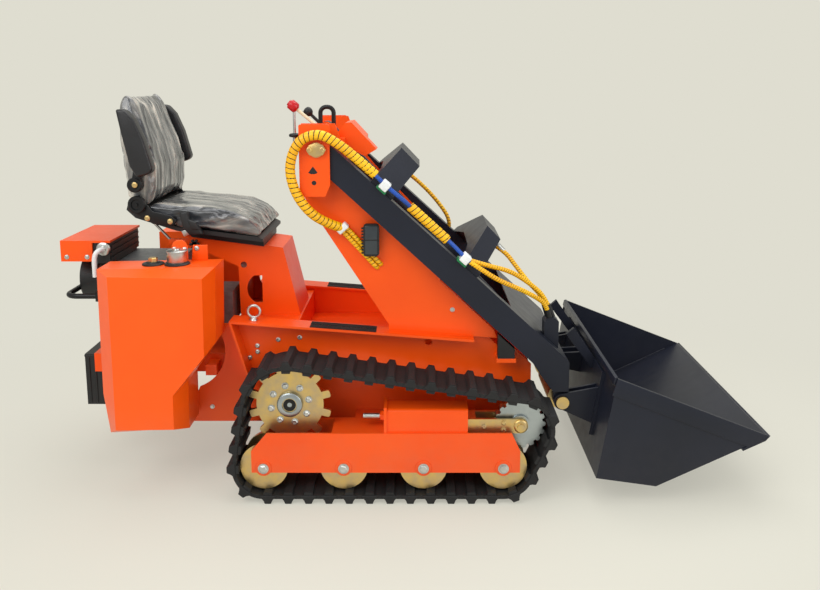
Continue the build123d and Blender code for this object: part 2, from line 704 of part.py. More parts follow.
LIFT_LUGS = (84.0, 126.0)
LUG_T = 10.0
arches = [arch(*row) for row in ARCHES]
for y in LIFT_LUGS:
    lug = Pos(LIFT_EYE_U, LIFT_EYE_N) * Circle(25)
    lug += outline([(LIFT_EYE_U - 25, LIFT_EYE_N), (LIFT_EYE_U + 25, LIFT_EYE_N), (LIFT_EYE_U + 36, 94), (LIFT_EYE_U - 36, 94)])
    near = across(lug, -y - LUG_T, -y)
    arches[0] += near
    arches[0] += flip(near)
save("boom_arches", *[BOOM * a - ARM - flip(ARM) for a in arches])

FRONT_PLATE = [
    (400, arm_top(400)), (596, arm_top(596)), (596, 412), (588, 412), (588, arm_top(588) - 8), (393, arm_top(393) - 8),
    (393, arm_top(393)),
]
save("boom_front_plate", slab(FRONT_PLATE, -ARM_IN, ARM_IN))
coupler = slab([(518, arm_top(518)), (571, arm_top(571)), (571, 590), (558, 603), (530, 603), (518, 590)], -290, -230)
save("coupler_bracket", coupler)


# Cylinders

LIFT_L = hypot(LIFT_EYE_X - LIFT_BASE_X, LIFT_EYE_Z - LIFT_BASE_Z)
TILT_L = BOOM_L


def along_lift(r, start, end):
    return rod_between(LIFT_BASE_X, LIFT_BASE_Z, LIFT_EYE_X, LIFT_EYE_Z, -LIFT_Y, r, start, end)


def along_tilt(r, start, end):
    return rod_between(TILT_X, TILT_Z, EAR_X, EAR_Z, 0, r, start, end)


barrel = along_lift(LIFT_BARREL_R, 20, LIFT_BARREL_L)
barrel += along_lift(LIFT_BARREL_R + 3, LIFT_BARREL_L - 40, LIFT_BARREL_L)
barrel += rod_y(LIFT_BASE_X, LIFT_BASE_Z, 36, -LIFT_Y - 26, -LIFT_Y + 26)
barrel -= rod_y(LIFT_BASE_X, LIFT_BASE_Z, 20 + RUN, -LIFT_Y - 26, -LIFT_Y + 26)
barrel -= along_lift(LIFT_ROD_R + SLIDE, 60, LIFT_BARREL_L)
save_both("lift_barrels", barrel)
rod = along_lift(LIFT_ROD_R, 80, LIFT_L - 16)
rod += rod_y(LIFT_EYE_X, LIFT_EYE_Z, 24, -LIFT_Y - 10, -LIFT_Y + 10)
rod -= rod_y(LIFT_EYE_X, LIFT_EYE_Z, 13, -LIFT_Y - 10, -LIFT_Y + 10)
save_both("lift_rods", rod)

barrel = along_tilt(TILT_BARREL_R, 18, TILT_BARREL_L)
barrel += along_tilt(TILT_BARREL_R + 1, TILT_BARREL_L - 36, TILT_BARREL_L)
barrel += rod_y(TILT_X, TILT_Z, 25, -26, 26)
barrel -= rod_y(TILT_X, TILT_Z, 14 + RUN, -26, 26)
barrel -= along_tilt(TILT_ROD_R + SLIDE, 680, TILT_BARREL_L)
save("tilt_barrel", barrel)
rod = along_tilt(TILT_ROD_R, 700, TILT_L - 14)
rod += rod_y(EAR_X, EAR_Z, 22, -18, 18)
rod -= rod_y(EAR_X, EAR_Z, 12, -18, 18)
save("tilt_rod", rod)


# Bucket and its attachment

WALL_L = hypot(BUCKET_TOP[0] - BUCKET_HEEL[0], BUCKET_TOP[1] - BUCKET_HEEL[1])
WALL_D = ((BUCKET_TOP[0] - BUCKET_HEEL[0]) / WALL_L, (BUCKET_TOP[1] - BUCKET_HEEL[1]) / WALL_L)


def behind_wall(s, out):
    """A place s up the bucket's back wall and out behind it."""
    return BUCKET_HEEL[0] + s * WALL_D[0] - out * WALL_D[1], BUCKET_HEEL[1] + s * WALL_D[1] + out * WALL_D[0]


ATTACH_T = 12.0
EAR_T = 11.0
attach = slab(
    [behind_wall(90, 0), behind_wall(330, 0), behind_wall(330, ATTACH_T), behind_wall(90, ATTACH_T)],
    -ARM_OUT - 9, ARM_OUT + 9,
)
pin_ear = Pos(PIN_X, PIN_Z) * Circle(EAR_R)
pin_ear += outline([(PIN_X, PIN_Z + EAR_R), (PIN_X, PIN_Z - EAR_R), behind_wall(130, 5), behind_wall(270, 5)])
link_ear = Pos(EAR_X, EAR_Z) * Circle(24)
link_ear += outline([(EAR_X, EAR_Z + 24), (EAR_X, EAR_Z - 24), behind_wall(215, 5), behind_wall(300, 5)])
EARS = [
    # outline, inner Y
    (pin_ear, ARM_IN),
    (pin_ear, ARM_OUT - EAR_T),
    (link_ear, 27.0),
]
for face, y in EARS:
    ear = across(face, -y - EAR_T, -y)
    attach += ear
    attach += flip(ear)
attach -= rod_y(PIN_X, PIN_Z, PIN_R + RUN, -ARM_OUT, ARM_OUT)
attach -= rod_y(EAR_X, EAR_Z, 12, -60, 60)
latch = slab([behind_wall(285, 6), behind_wall(328, 6), (640, 545), (612, 520)], -215, -199)
attach += latch
attach += flip(latch)
save("attach_plate", attach)

tube_end = ARM_IN - SIDE_GAP
cross = rod_y(PIN_X, PIN_Z, 12, -60, 60)
for y0, y1 in ((-tube_end, -50), (50, tube_end)):
    cross += rod_y(PIN_X, PIN_Z, 45, y0, y1) - rod_y(PIN_X, PIN_Z, 37, y0 + 10, y1 - 10)
for y0, y1 in ((-ARM_OUT - 8, -50), (50, ARM_OUT + 8)):
    cross += rod_y(PIN_X, PIN_Z, PIN_R, y0, y1)
for y in (-ARM_OUT - 12, ARM_OUT + 2):
    cross += rod_y(PIN_X, PIN_Z, PIN_R + 8, y, y + 10)
save("bucket_cross_tube", cross)

outer = outline([BUCKET_TOP, BUCKET_HEEL, BUCKET_KNEE, BUCKET_LIP])
half = BUCKET_W / 2
bucket = across(outer, -half, half)
void = outline([
    (BUCKET_TOP[0] + 9, BUCKET_TOP[1] + 60), (BUCKET_HEEL[0] + 9, BUCKET_HEEL[1] + 7),
    (BUCKET_KNEE[0] - 2, BUCKET_KNEE[1] + 8.5), (BUCKET_LIP[0] - 10, BUCKET_LIP[1] + 4), (BUCKET_LIP[0] + 20, BUCKET_LIP[1] + 60),
])
bucket -= across(void, -half + BUCKET_WALL, half - BUCKET_WALL)
save("bucket", bucket)


# Hoses

HOSE_R = 9.0


def hose(points, leave, arrive, r=HOSE_R):
    """A hose through points, swept as one round tube, with the directions at its two ends."""
    path = Spline(*points, tangents=[leave, arrive])
    start = Plane(origin=path @ 0, z_dir=path % 0)
    return sweep(start * Circle(r), path=path)


HOSE_Y = ARM_OUT + HOSE_R
HOSE_DROPS = (12.0, 33.0)         # below the arm's top edge
HOSE_REAR, HOSE_FRONT = -95.0, 480.0


def arm_hose(drop):
    z0, z1 = arm_top(HOSE_REAR) - drop, arm_top(HOSE_FRONT) - drop
    length = hypot(HOSE_FRONT - HOSE_REAR, z1 - z0)
    return rod_between(HOSE_REAR, z0, HOSE_FRONT, z1, -HOSE_Y, HOSE_R, 0.5, length)


save("boom_hoses", *[arm_hose(drop) for drop in HOSE_DROPS])
LOOP = [
    (HOSE_REAR, -HOSE_Y, arm_top(HOSE_REAR) - HOSE_DROPS[0]), (-160, -382, 1178), (-240, -396, 1262), (-343, -400, 1222),
    (-375, -397, 1154), (-347, -392, 1068), (-286, -378, 999), (-228, -345, 957), (-196, -TOWER_IN - TOWER_T - HOSE_R, 925),
]
save("pivot_hose", hose(LOOP, (-0.737, 0, 0.676), (0.5, 0.5, -0.7)))
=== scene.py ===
import json
import math

import bpy
from mathutils import Matrix, Vector, noise


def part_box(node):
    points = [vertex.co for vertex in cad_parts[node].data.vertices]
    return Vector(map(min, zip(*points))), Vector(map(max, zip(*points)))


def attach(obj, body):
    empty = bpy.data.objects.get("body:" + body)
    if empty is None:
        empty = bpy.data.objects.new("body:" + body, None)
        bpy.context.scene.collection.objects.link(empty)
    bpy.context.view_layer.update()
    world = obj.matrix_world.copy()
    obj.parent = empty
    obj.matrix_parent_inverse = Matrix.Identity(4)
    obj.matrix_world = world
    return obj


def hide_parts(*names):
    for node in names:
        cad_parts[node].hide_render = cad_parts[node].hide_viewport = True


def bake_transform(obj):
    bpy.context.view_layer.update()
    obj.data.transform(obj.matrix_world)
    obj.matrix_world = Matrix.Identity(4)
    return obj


bl_info = {
    "name": "Tracked mini loader",
    "version": (1, 0, 0),
    "blender": (4, 5, 0),
    "location": "View3D > Sidebar > Loader",
    "description": "Finishes, hoses, seat pads and small fittings of a ride-on tracked mini loader",
    "category": "Object",
}

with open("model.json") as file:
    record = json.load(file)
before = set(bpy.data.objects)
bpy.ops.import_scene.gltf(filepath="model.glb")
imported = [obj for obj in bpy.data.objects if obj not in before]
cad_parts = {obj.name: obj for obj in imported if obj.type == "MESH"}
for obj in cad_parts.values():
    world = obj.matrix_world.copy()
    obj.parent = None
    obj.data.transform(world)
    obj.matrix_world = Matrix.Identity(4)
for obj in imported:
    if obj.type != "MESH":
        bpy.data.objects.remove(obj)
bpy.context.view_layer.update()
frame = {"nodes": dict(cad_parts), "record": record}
MM = 0.001


# Colours and nodes

def linear(code):
    """A hex colour as it is seen, turned to linear values."""
    parts = [int(code[i:i + 2], 16) / 255 for i in (1, 3, 5)]
    return [c / 12.92 if c <= 0.04045 else ((c + 0.055) / 1.055) ** 2.4 for c in parts] + [1.0]


def per_metre(size):
    """How often a pattern of this size in millimetres comes in a metre."""
    return 1000 / size


def add(tree, kind, sockets=(), **settings):
    """Adds a node with its settings. sockets pairs each input with a value or an output to link."""
    node = tree.nodes.new(kind)
    for key, value in settings.items():
        setattr(node, key, value)
    for name, value in sockets:
        if isinstance(value, bpy.types.NodeSocket):
            tree.links.new(value, node.inputs[name])
        else:
            node.inputs[name].default_value = value
    return node


def surface(name):
    """A new material with its tree, Object coordinates and a Principled shader."""
    material = bpy.data.materials.new(name)
    material.use_nodes = True
    tree = material.node_tree
    shader = tree.nodes["Principled BSDF"]
    place = add(tree, "ShaderNodeTexCoord").outputs["Object"]
    return material, tree, shader, place


def sprayed_paint(name, colour, shade, rough, dust=0.3):
    # Gloss enamel sprayed on folded steel: an even colour, faint orange peel and a little dust low down.
    material, tree, shader, place = surface(name)
    clouds = add(tree, "ShaderNodeTexNoise", [("Vector", place), ("Scale", per_metre(330)), ("Detail", 4.0)])
    share = add(tree, "ShaderNodeMapRange", [
        ("Value", clouds.outputs["Fac"]), ("From Min", 0.35), ("From Max", 0.65)])
    paint = add(tree, "ShaderNodeMix", [
        ("Factor", share.outputs["Result"]), (6, linear(colour)), (7, linear(shade))], data_type="RGBA")
    height = add(tree, "ShaderNodeSeparateXYZ", [("Vector", place)]).outputs["Z"]
    low = add(tree, "ShaderNodeMapRange", [
        ("Value", height), ("From Min", 0.02), ("From Max", 0.34), ("To Min", dust), ("To Max", 0.0)])
    patches = add(tree, "ShaderNodeTexNoise", [("Vector", place), ("Scale", per_metre(45)), ("Detail", 6.0)])
    dusty = add(tree, "ShaderNodeMath", [
        (0, low.outputs["Result"]), (1, patches.outputs["Fac"])], operation="MULTIPLY")
    mixed = add(tree, "ShaderNodeMix", [
        ("Factor", dusty.outputs["Value"]), (6, paint.outputs[2]), (7, linear("#8E8272"))], data_type="RGBA")
    tree.links.new(mixed.outputs[2], shader.inputs["Base Color"])
    film = add(tree, "ShaderNodeMapRange", [
        ("Value", patches.outputs["Fac"]), ("To Min", rough - 0.05), ("To Max", rough + 0.12)])
    tree.links.new(film.outputs["Result"], shader.inputs["Roughness"])
    shader.inputs["Specular IOR Level"].default_value = 0.3
    shader.inputs["Coat Weight"].default_value = 0.08
    shader.inputs["Coat Roughness"].default_value = 0.15
    # The peel is drawn coarser than real so that it shows.
    peel = add(tree, "ShaderNodeTexNoise", [("Vector", place), ("Scale", per_metre(4)), ("Detail", 2.0)])
    bump = add(tree, "ShaderNodeBump", [
        ("Height", peel.outputs["Fac"]), ("Strength", 0.25), ("Distance", 0.6 * MM)])
    tree.links.new(bump.outputs["Normal"], shader.inputs["Normal"])
    return material


def moulded(name, colour, shade, rough, grit, depth, strength=0.4):
    # Moulded rubber or plastic: an even colour and a fine grit from the mould, its size and depth in mm.
    # The grit is drawn coarser than real so that it shows, the finest of it only close up.
    material, tree, shader, place = surface(name)
    clouds = add(tree, "ShaderNodeTexNoise", [("Vector", place), ("Scale", per_metre(110)), ("Detail", 4.0)])
    share = add(tree, "ShaderNodeMapRange", [
        ("Value", clouds.outputs["Fac"]), ("From Min", 0.35), ("From Max", 0.65)])
    body = add(tree, "ShaderNodeMix", [
        ("Factor", share.outputs["Result"]), (6, linear(colour)), (7, linear(shade))], data_type="RGBA")
    tree.links.new(body.outputs[2], shader.inputs["Base Color"])
    grain = add(tree, "ShaderNodeTexNoise", [("Vector", place), ("Scale", per_metre(grit)), ("Detail", 5.0)])
    spread = add(tree, "ShaderNodeMapRange", [
        ("Value", grain.outputs["Fac"]), ("To Min", rough - 0.1), ("To Max", rough + 0.1)])
    tree.links.new(spread.outputs["Result"], shader.inputs["Roughness"])
    bump = add(tree, "ShaderNodeBump", [
        ("Height", grain.outputs["Fac"]), ("Strength", strength), ("Distance", depth * MM)])
    tree.links.new(bump.outputs["Normal"], shader.inputs["Normal"])
    return material


def plated(name, colour, shade, rough, cloud):
    # Plated or bare metal: cloudy colour, cloud mm across, and turning marks in its gloss.
    # The marks are drawn coarser than real so that they show.
    material, tree, shader, place = surface(name)
    clouds = add(tree, "ShaderNodeTexNoise", [
        ("Vector", place), ("Scale", per_metre(cloud)), ("Detail", 4.0)])
    share = add(tree, "ShaderNodeMapRange", [
        ("Value", clouds.outputs["Fac"]), ("From Min", 0.3), ("From Max", 0.7)])
    metal = add(tree, "ShaderNodeMix", [
        ("Factor", share.outputs["Result"]), (6, linear(colour)), (7, linear(shade))], data_type="RGBA")
    tree.links.new(metal.outputs[2], shader.inputs["Base Color"])
    shader.inputs["Metallic"].default_value = 1.0
    marks = add(tree, "ShaderNodeTexNoise", [("Vector", place), ("Scale", per_metre(5.5)), ("Detail", 5.0)])
    spread = add(tree, "ShaderNodeMapRange", [
        ("Value", marks.outputs["Fac"]), ("To Min", rough - 0.08), ("To Max", rough + 0.14)])
    tree.links.new(spread.outputs["Result"], shader.inputs["Roughness"])
    bump = add(tree, "ShaderNodeBump", [
        ("Height", marks.outputs["Fac"]), ("Strength", 0.15), ("Distance", 0.5 * MM)])
    tree.links.new(bump.outputs["Normal"], shader.inputs["Normal"])
    return material


# Colour steps of the seat film: the darkest is the vinyl's own black, the pale steps are painted highlights
# of the film's creases.
VINYL_AND_HIGHLIGHT_STEPS = ((0.34, "#17191D"), (0.47, "#3F4248"), (0.58, "#86847F"), (0.74, "#E2DACD"))


def filmed_vinyl(name, streaks):
    # Black vinyl under loose clear film: pale streaks along the creases are painted highlights, where the
    # film catches the light, and dark cloth shows between.
    material, tree, shader, place = surface(name)
    drawn = add(tree, "ShaderNodeMapping", [("Vector", place), ("Scale", streaks)]).outputs["Vector"]
    creases = add(tree, "ShaderNodeTexNoise", [
        ("Vector", drawn), ("Scale", per_metre(125)), ("Detail", 3.5), ("Distortion", 1.1)])
    # This ramp paints the film's highlights into the base colour.
    ramp = add(tree, "ShaderNodeValToRGB", [("Fac", creases.outputs["Fac"])])
    steps = ramp.color_ramp.elements
    for position, colour in VINYL_AND_HIGHLIGHT_STEPS:
        steps.new(position).color = linear(colour)
    steps.remove(steps[0])
    steps.remove(steps[-1])
    tree.links.new(ramp.outputs["Color"], shader.inputs["Base Color"])
    gloss = add(tree, "ShaderNodeMapRange", [
        ("Value", creases.outputs["Fac"]), ("To Min", 0.45), ("To Max", 0.12)])
    tree.links.new(gloss.outputs["Result"], shader.inputs["Roughness"])
    shader.inputs["Coat Weight"].default_value = 0.7
    shader.inputs["Coat Roughness"].default_value = 0.12
    wrinkles = add(tree, "ShaderNodeTexNoise", [
        ("Vector", drawn), ("Scale", per_metre(50)), ("Detail", 3.0), ("Distortion", 1.6)])
    bump = add(tree, "ShaderNodeBump", [
        ("Height", wrinkles.outputs["Fac"]), ("Strength", 0.6), ("Distance", 4.0 * MM)])
    tree.links.new(bump.outputs["Normal"], shader.inputs["Normal"])
    return material


def make_finishes():
    """Every finish of the machine, by a short key."""
    return {
        # Enamels: deep orange frame, lighter tanks, blue-black boom, black plates and the cream lever.
        "chassis": sprayed_paint("orange_enamel_on_steel", "#FB5806", "#F45004", 0.36),
        "tank": sprayed_paint("light_orange_enamel_on_steel", "#FB5C0A", "#F65606", 0.34),
        "boom": sprayed_paint("blue_black_enamel_on_steel", "#1B1F2D", "#171B27", 0.40, dust=0.06),
        "black": sprayed_paint("black_enamel_on_steel", "#151618", "#101112", 0.42),
        "cream": sprayed_paint("cream_enamel_on_steel", "#E9DDBE", "#DFD2B0", 0.35),
        # Rubbers and plastics: dull tracks and hoses, satin mouldings and a glossy red knob.
        "track": moulded("moulded_track_rubber", "#1C1C1D", "#131314", 0.72, 4.2, 1.2),
        "plastic": moulded("black_polypropylene", "#1B1C1E", "#151617", 0.5, 1.4, 0.5),
        "rubber": moulded("black_hose_rubber", "#1C1C1D", "#141415", 0.6, 2, 0.5),
        "vinyl": moulded("black_seat_vinyl", "#1D1D20", "#151518", 0.42, 2.4, 0.9),
        "yellow": moulded("yellow_polyethylene_wrap", "#FFC60A", "#F2AE00", 0.42, 3.3, 0.5),
        "blue": moulded("blue_hose_rubber", "#1450B4", "#0D3A8C", 0.38, 3.3, 0.4),
        "white": moulded("white_nylon", "#ECEFF0", "#DADEDF", 0.45, 3.3, 0.4),
        "green": moulded("green_nylon", "#0F7A45", "#0B6136", 0.45, 3.3, 0.4),
        "red": moulded("red_phenolic", "#D81420", "#BC0E19", 0.28, 5, 0.04),
        "grit": moulded("grit_coated_tape", "#1B1B1C", "#0C0C0C", 0.9, 1.1, 1.6, 0.9),
        "lens": moulded("tinted_polycarbonate", "#3A4146", "#2C3236", 0.16, 8.3, 0.2),
        # Metals: golden plate on the wheels, bright plate on the bolts, bare and cast grey.
        "zinc": plated("yellow_zinc_plate", "#E6C578", "#CBB48C", 0.32, 38),
        "bright": plated("white_zinc_plate", "#D6D8D6", "#BFC1BC", 0.30, 33),
        "steel": plated("turned_steel", "#BCC4C6", "#A3ABAD", 0.3, 71),
        "chrome": plated("hard_chrome_plate", "#E4E6E8", "#D8DADC", 0.12, 125),
        "cast": plated("cast_aluminium", "#8F9193", "#7B7D80", 0.5, 25),
        # Film over the seat, with painted highlights in its creases: streaks run up the back and along the
        # cushion.
        "back_film_and_highlights": filmed_vinyl("film_highlights_on_back_vinyl", (1.6, 2.6, 0.45)),
        "seat_film_and_highlights": filmed_vinyl("film_highlights_on_seat_vinyl", (0.4, 2.6, 2.0)),
    }


NODE_FINISH = {
    "track_rubber": "track",
    "zinc_steel": "zinc",
    "idler_steel": "steel",
    "black_paint": "black",
    "chassis_paint": "chassis",
    "tank_paint": "tank",
    "boom_paint": "boom",
    "black_plastic": "plastic",
    "seat_vinyl": "vinyl",
    "hose_rubber": "rubber",
    "engine_metal": "cast",
    "rod_chrome": "chrome",
}
SLOTS = {key: slot for slot, key in NODE_FINISH.items()}
SLOTS.update({
    "bright": "rod_chrome",
    "back_film_and_highlights": "seat_vinyl",
    "seat_film_and_highlights": "seat_vinyl",
    "yellow": "hose_rubber",
    "blue": "hose_rubber",
    "grit": "hose_rubber",
    "white": "black_plastic",
    "green": "black_plastic",
    "red": "black_plastic",
    "lens": "black_plastic",
    "cream": "black_paint",
})
FINISH = {}


# Sizes and places, in millimetres

RIGHT = (0, -1, 0)          # out to the right side
LEFT = (0, 1, 0)
UP = (0, 0, 1)
ARM_EDGE = (0.7368, -0.6761)  # along the boom arm, X and Z
HOSE_Y = -364.0             # middle of the hose bundle on the right arm
CLAMP = (-207.0, 941.0)     # the tower clamp, X and Z
DOWN = (0.6702, -0.7422)    # along the hoses below it
RAIL_SLOPE = 73 / 936
GAP = 0.085                 # half of the wrap's gap, as a share of its pitch


def arm_top(x):
    return 1233 - (x + 240) * 769 / 838


def on_top(x, n):
    """X and Z of a place n out from the boom arm's top edge."""
    return x - n * ARM_EDGE[1], arm_top(x) + n * ARM_EDGE[0]


def by_clamp(s, n):
    """X and Z of a place s down the hoses from the tower clamp, and n across them."""
    return CLAMP[0] + s * DOWN[0] - n * DOWN[1], CLAMP[1] + s * DOWN[1] + n * DOWN[0]


def rail_top(x):
    return 608 - (x + 617) * RAIL_SLOPE


# Modelling

def begin():
    if bpy.context.object and bpy.context.object.mode != "OBJECT":
        bpy.ops.object.mode_set(mode="OBJECT")
    bpy.ops.object.select_all(action="DESELECT")


def only(piece):
    begin()
    piece.select_set(True)
    bpy.context.view_layer.objects.active = piece
    return piece


def modified(piece, kind, **settings):
    """Adds a modifier with its settings and applies it."""
    only(piece)
    change = piece.modifiers.new("change", kind)
    for key, value in settings.items():
        setattr(change, key, value)
    bpy.ops.object.modifier_apply(modifier=change.name)
    return piece


def rounded(piece, width, segments=3):
    return modified(
        piece, "BEVEL", width=width * MM, segments=segments,
        limit_method="ANGLE", angle_limit=math.radians(35))


def faces_out():
    """Turns the faces of the mesh in edit mode outwards, and goes back to object mode."""
    bpy.ops.mesh.select_all(action="SELECT")
    bpy.ops.mesh.normals_make_consistent(inside=False)
    bpy.ops.object.mode_set(mode="OBJECT")


def prism(points, y0, y1):
    """An outline in X and Z, carried from y0 to y1."""
    begin()
    bpy.ops.mesh.primitive_circle_add(vertices=len(points), radius=1, fill_type="NGON")
    piece = bpy.context.object
    for vertex, (x, z) in zip(piece.data.vertices, points):
        vertex.co = (x * MM, y0 * MM, z * MM)
    bpy.ops.object.mode_set(mode="EDIT")
    bpy.ops.mesh.select_all(action="SELECT")
    bpy.ops.mesh.extrude_region_move(TRANSFORM_OT_translate={"value": (0, (y1 - y0) * MM, 0)})
    faces_out()
    return piece


def block(x0, x1, y0, y1, z0, z1):
    return prism([(x0, z0), (x1, z0), (x1, z1), (x0, z1)], y0, y1)


def turned(rows, sides=24):
    """A turned shape on the Z axis from rows of height and radius."""
    begin()
    height, radius = rows[0]
    bpy.ops.mesh.primitive_circle_add(
        vertices=sides, radius=radius * MM, fill_type="NGON", location=(0, 0, height * MM))
    bpy.ops.object.transform_apply(location=True, rotation=True, scale=True)
    bpy.ops.object.mode_set(mode="EDIT")
    bpy.ops.mesh.select_all(action="SELECT")
    for next_height, next_radius in rows[1:]:
        rise = (next_height - height) * MM
        bpy.ops.mesh.extrude_region_move(TRANSFORM_OT_translate={"value": (0, 0, rise)})
        factor = next_radius / radius
        bpy.ops.transform.resize(value=(factor, factor, 1), center_override=(0, 0, next_height * MM))
        height, radius = next_height, next_radius
    faces_out()
    return bpy.context.object


def facing(x, y, z, axis):
    """The turn and place that put a turned shape's foot there, looking along axis."""
    turn = Vector(axis).to_track_quat("Z", "X").to_matrix().to_4x4()
    turn.translation = Vector((x, y, z)) * MM
    return turn


def placed(piece, x, y, z, axis=UP):
    piece.data.transform(facing(x, y, z, axis))
    return piece


def joined(pieces):
    begin()
    for piece in pieces:
        piece.select_set(True)
    bpy.context.view_layer.objects.active = pieces[0]
    if len(pieces) > 1:
        bpy.ops.object.join()
    return bpy.context.object


def strewn(model, turns):
    """Copies of one model, each put in its place by a matrix, joined to one piece."""
    copies = []
    for turn in turns:
        copy = model.copy()
        copy.data = model.data.copy()
        copy.data.transform(turn)
        bpy.context.collection.objects.link(copy)
        copies.append(copy)
    bpy.data.objects.remove(model)
    return joined(copies)


def outwards(places):
    """Turns that face a shape out to the side, at places on the right and the same on the left."""
    turns = []
    for x, y, z in places:
        turns.append(facing(x, y, z, RIGHT))
        turns.append(facing(x, -y, z, LEFT))
    return turns


def mirrored(piece):
    """A copy on the other side of the middle plane, faces outwards."""
    copy = piece.copy()
    copy.data = piece.data.copy()
    bpy.context.collection.objects.link(copy)
    copy.data.transform(Matrix.Scale(-1, 4, LEFT))
    only(copy)
    bpy.ops.object.mode_set(mode="EDIT")
    faces_out()
    return copy


def both(piece):
    """The piece and its mirror image as one."""
    return joined([piece, mirrored(piece)])


def finished(piece, name, key, body="machine", angle=40):
    """Names the piece, gives it its finish and puts it on its body, if it has one of its own."""
    only(piece)
    bpy.ops.object.shade_smooth_by_angle(angle=math.radians(angle))
    piece.name = name
    piece.data.materials.clear()
    piece.data.materials.append(FINISH[key])
    if body:
        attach(piece, body)
    return piece


def route(points, radius=0.0, resolution=24):
    """An open NURBS line with these control points, round where a radius is given."""
    curve = bpy.data.curves.new("route", "CURVE")
    curve.dimensions = "3D"
    curve.resolution_u = resolution
    curve.bevel_depth = radius * MM
    curve.bevel_resolution = 4
    curve.use_fill_caps = radius > 0
    line = curve.splines.new("NURBS")
    line.points.add(len(points) - 1)
    for knot, (x, y, z) in zip(line.points, points):
        knot.co = (x * MM, y * MM, z * MM, 1)
    line.order_u = 3
    line.use_endpoint_u = True
    piece = bpy.data.objects.new("route", curve)
    bpy.context.collection.objects.link(piece)
    return piece


def bar(points, radius):
    """A bent round bar."""
    only(route(points, radius, 10))
    bpy.ops.object.convert(target="MESH")
    return bpy.context.object


def centreline(points, resolution):
    """Points along the route's own spline."""
    line = route(points, 0.0, resolution)
    mesh = bpy.data.meshes.new_from_object(line)
    places = [v.co.copy() for v in mesh.vertices]
    bpy.data.objects.remove(line)
    bpy.data.meshes.remove(mesh)
    return places


def sleeve(points, radius, pitch, groove, resolution, sides):
    """A hose in a spiral wrap, a gap between its turns. Returns the piece, its line and the gap's faces."""
    line = centreline(points, resolution)
    across = Vector((0, 1, 0.2))
    rings, gaps, run = [], [], 0.0
    for i, place in enumerate(line):
        ahead = line[min(i + 1, len(line) - 1)] - line[max(i - 1, 0)]
        ahead.normalize()
        across = (across - ahead * across.dot(ahead)).normalized()
        other = ahead.cross(across)
        if i:
            run += (place - line[i - 1]).length
        ring, open_here = [], []
        for k in range(sides):
            winding = (run / (pitch * MM) + k / sides) % 1.0
            open_here.append(groove > 0 and abs(winding - 0.5) < GAP)
            depth = groove if open_here[-1] else 0.0
            turn = math.tau * k / sides
            out = across * math.cos(turn) + other * math.sin(turn)
            ring.append(place + out * (radius - depth) * MM)
        rings.append(ring)
        gaps.append(open_here)
    last = (len(rings) - 1) * sides
    faces = [tuple(range(sides - 1, -1, -1)), tuple(last + k for k in range(sides))]
    bare = []
    for i in range(len(rings) - 1):
        for k in range(sides):
            after = (k + 1) % sides
            if gaps[i][k] and gaps[i + 1][after] or gaps[i + 1][k] and gaps[i][after]:
                bare.append(len(faces))
            here, there = i * sides, (i + 1) * sides
            faces.append((here + k, here + after, there + after, there + k))
    mesh = bpy.data.meshes.new("sleeve")
    mesh.from_pydata([v for ring in rings for v in ring], [], faces)
    piece = bpy.data.objects.new("sleeve", mesh)
    bpy.context.collection.objects.link(piece)
    return piece, line, bare


def wrapped(points, radius, pitch, name, body, resolution=70, sides=20, groove=2.0, key="yellow"):
    """A finished hose in its wrap, black rubber showing in the gap. Returns the piece and its line."""
    piece, line, bare = sleeve(points, radius, pitch, groove, resolution, sides)
    finished(piece, name, key, body, 60)
    piece.data.materials.append(FINISH["rubber"])
    for face in bare:
        piece.data.polygons[face].material_index = 1
    return piece, line


class LoaderLook(bpy.types.PropertyGroup):
    """Sizes and colours that a user would change."""

    backdrop: bpy.props.FloatVectorProperty(
        name="Backdrop", description="Colour of the floor and the wall behind", subtype="COLOR", size=4,
        default=linear("#DFDDD0"))
    key_power: bpy.props.FloatProperty(
        name="Key light", description="Power of the large lamp in front", default=110.0, unit="POWER")
    wrap_pitch: bpy.props.FloatProperty(
        name="Wrap pitch", description="Width of the hoses' spiral wrap", default=0.017, min=0.004,
        subtype="DISTANCE")
    swell: bpy.props.FloatProperty(
        name="Swell", description="How far the seat pads may swell", default=0.010, min=0.0,
        subtype="DISTANCE")


class LOADER_OT_finishes(bpy.types.Operator):
    """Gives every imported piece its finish"""

    bl_idname = "loader.finishes"
    bl_label = "Finishes"

    def execute(self, context):
        FINISH.update(make_finishes())
        slots = {row["node"]: row["material_slot"] for row in frame["record"]["subparts"]}
        for name, piece in frame["nodes"].items():
            finish = FINISH[NODE_FINISH[slots[name]]]
            if not piece.material_slots:
                piece.data.materials.append(finish)
            for row in piece.material_slots:
                row.material = finish
        return {"FINISHED"}


BUNDLE_R, HOSE_R, LINE_R = 17.0, 8.5, 6.5
PIVOT_LOOP = [
    (-89.7, HOSE_Y, 1135.8), (-165, -384, 1206), (-225, -394, 1253), (-281, -397, 1281),
    (-350, -397, 1256), (-383, -397, 1170), (-366, -395, 1080), (-316, -388, 1006), (-258, -356, 964),
    (-207, -323, 941),
]
ARM_LINE = [(-118, 30), (-73, 26), (-10, 31), (80, 29), (150, 32), (207, 26), (236, 29)]
ARM_WRAP = [(10, 30), (50, 30), (95, 30), (140, 30)]
LEFT_LINE = [(-62, 16), (-30, 50), (50, 54), (120, 44), (178, 24), (192, -2)]
TAILS = [
    # From the arm's second clamp and from the front arch to the coupler.
    [(240, -373, 830), (300, -372, 789), (352, -368, 758), (420, -345, 726), (480, -316, 690),
     (524, -292, 655), (537, -278, 602)],
    [(240, -354, 832), (300, -345, 812), (388, -318, 786), (463, -284, 732), (524, -268, 676),
     (551, -260, 602)],
    [(346, -140, 844), (385, -146, 822), (425, -172, 770), (470, -206, 714), (520, -238, 668),
     (534, -243, 602)],
]
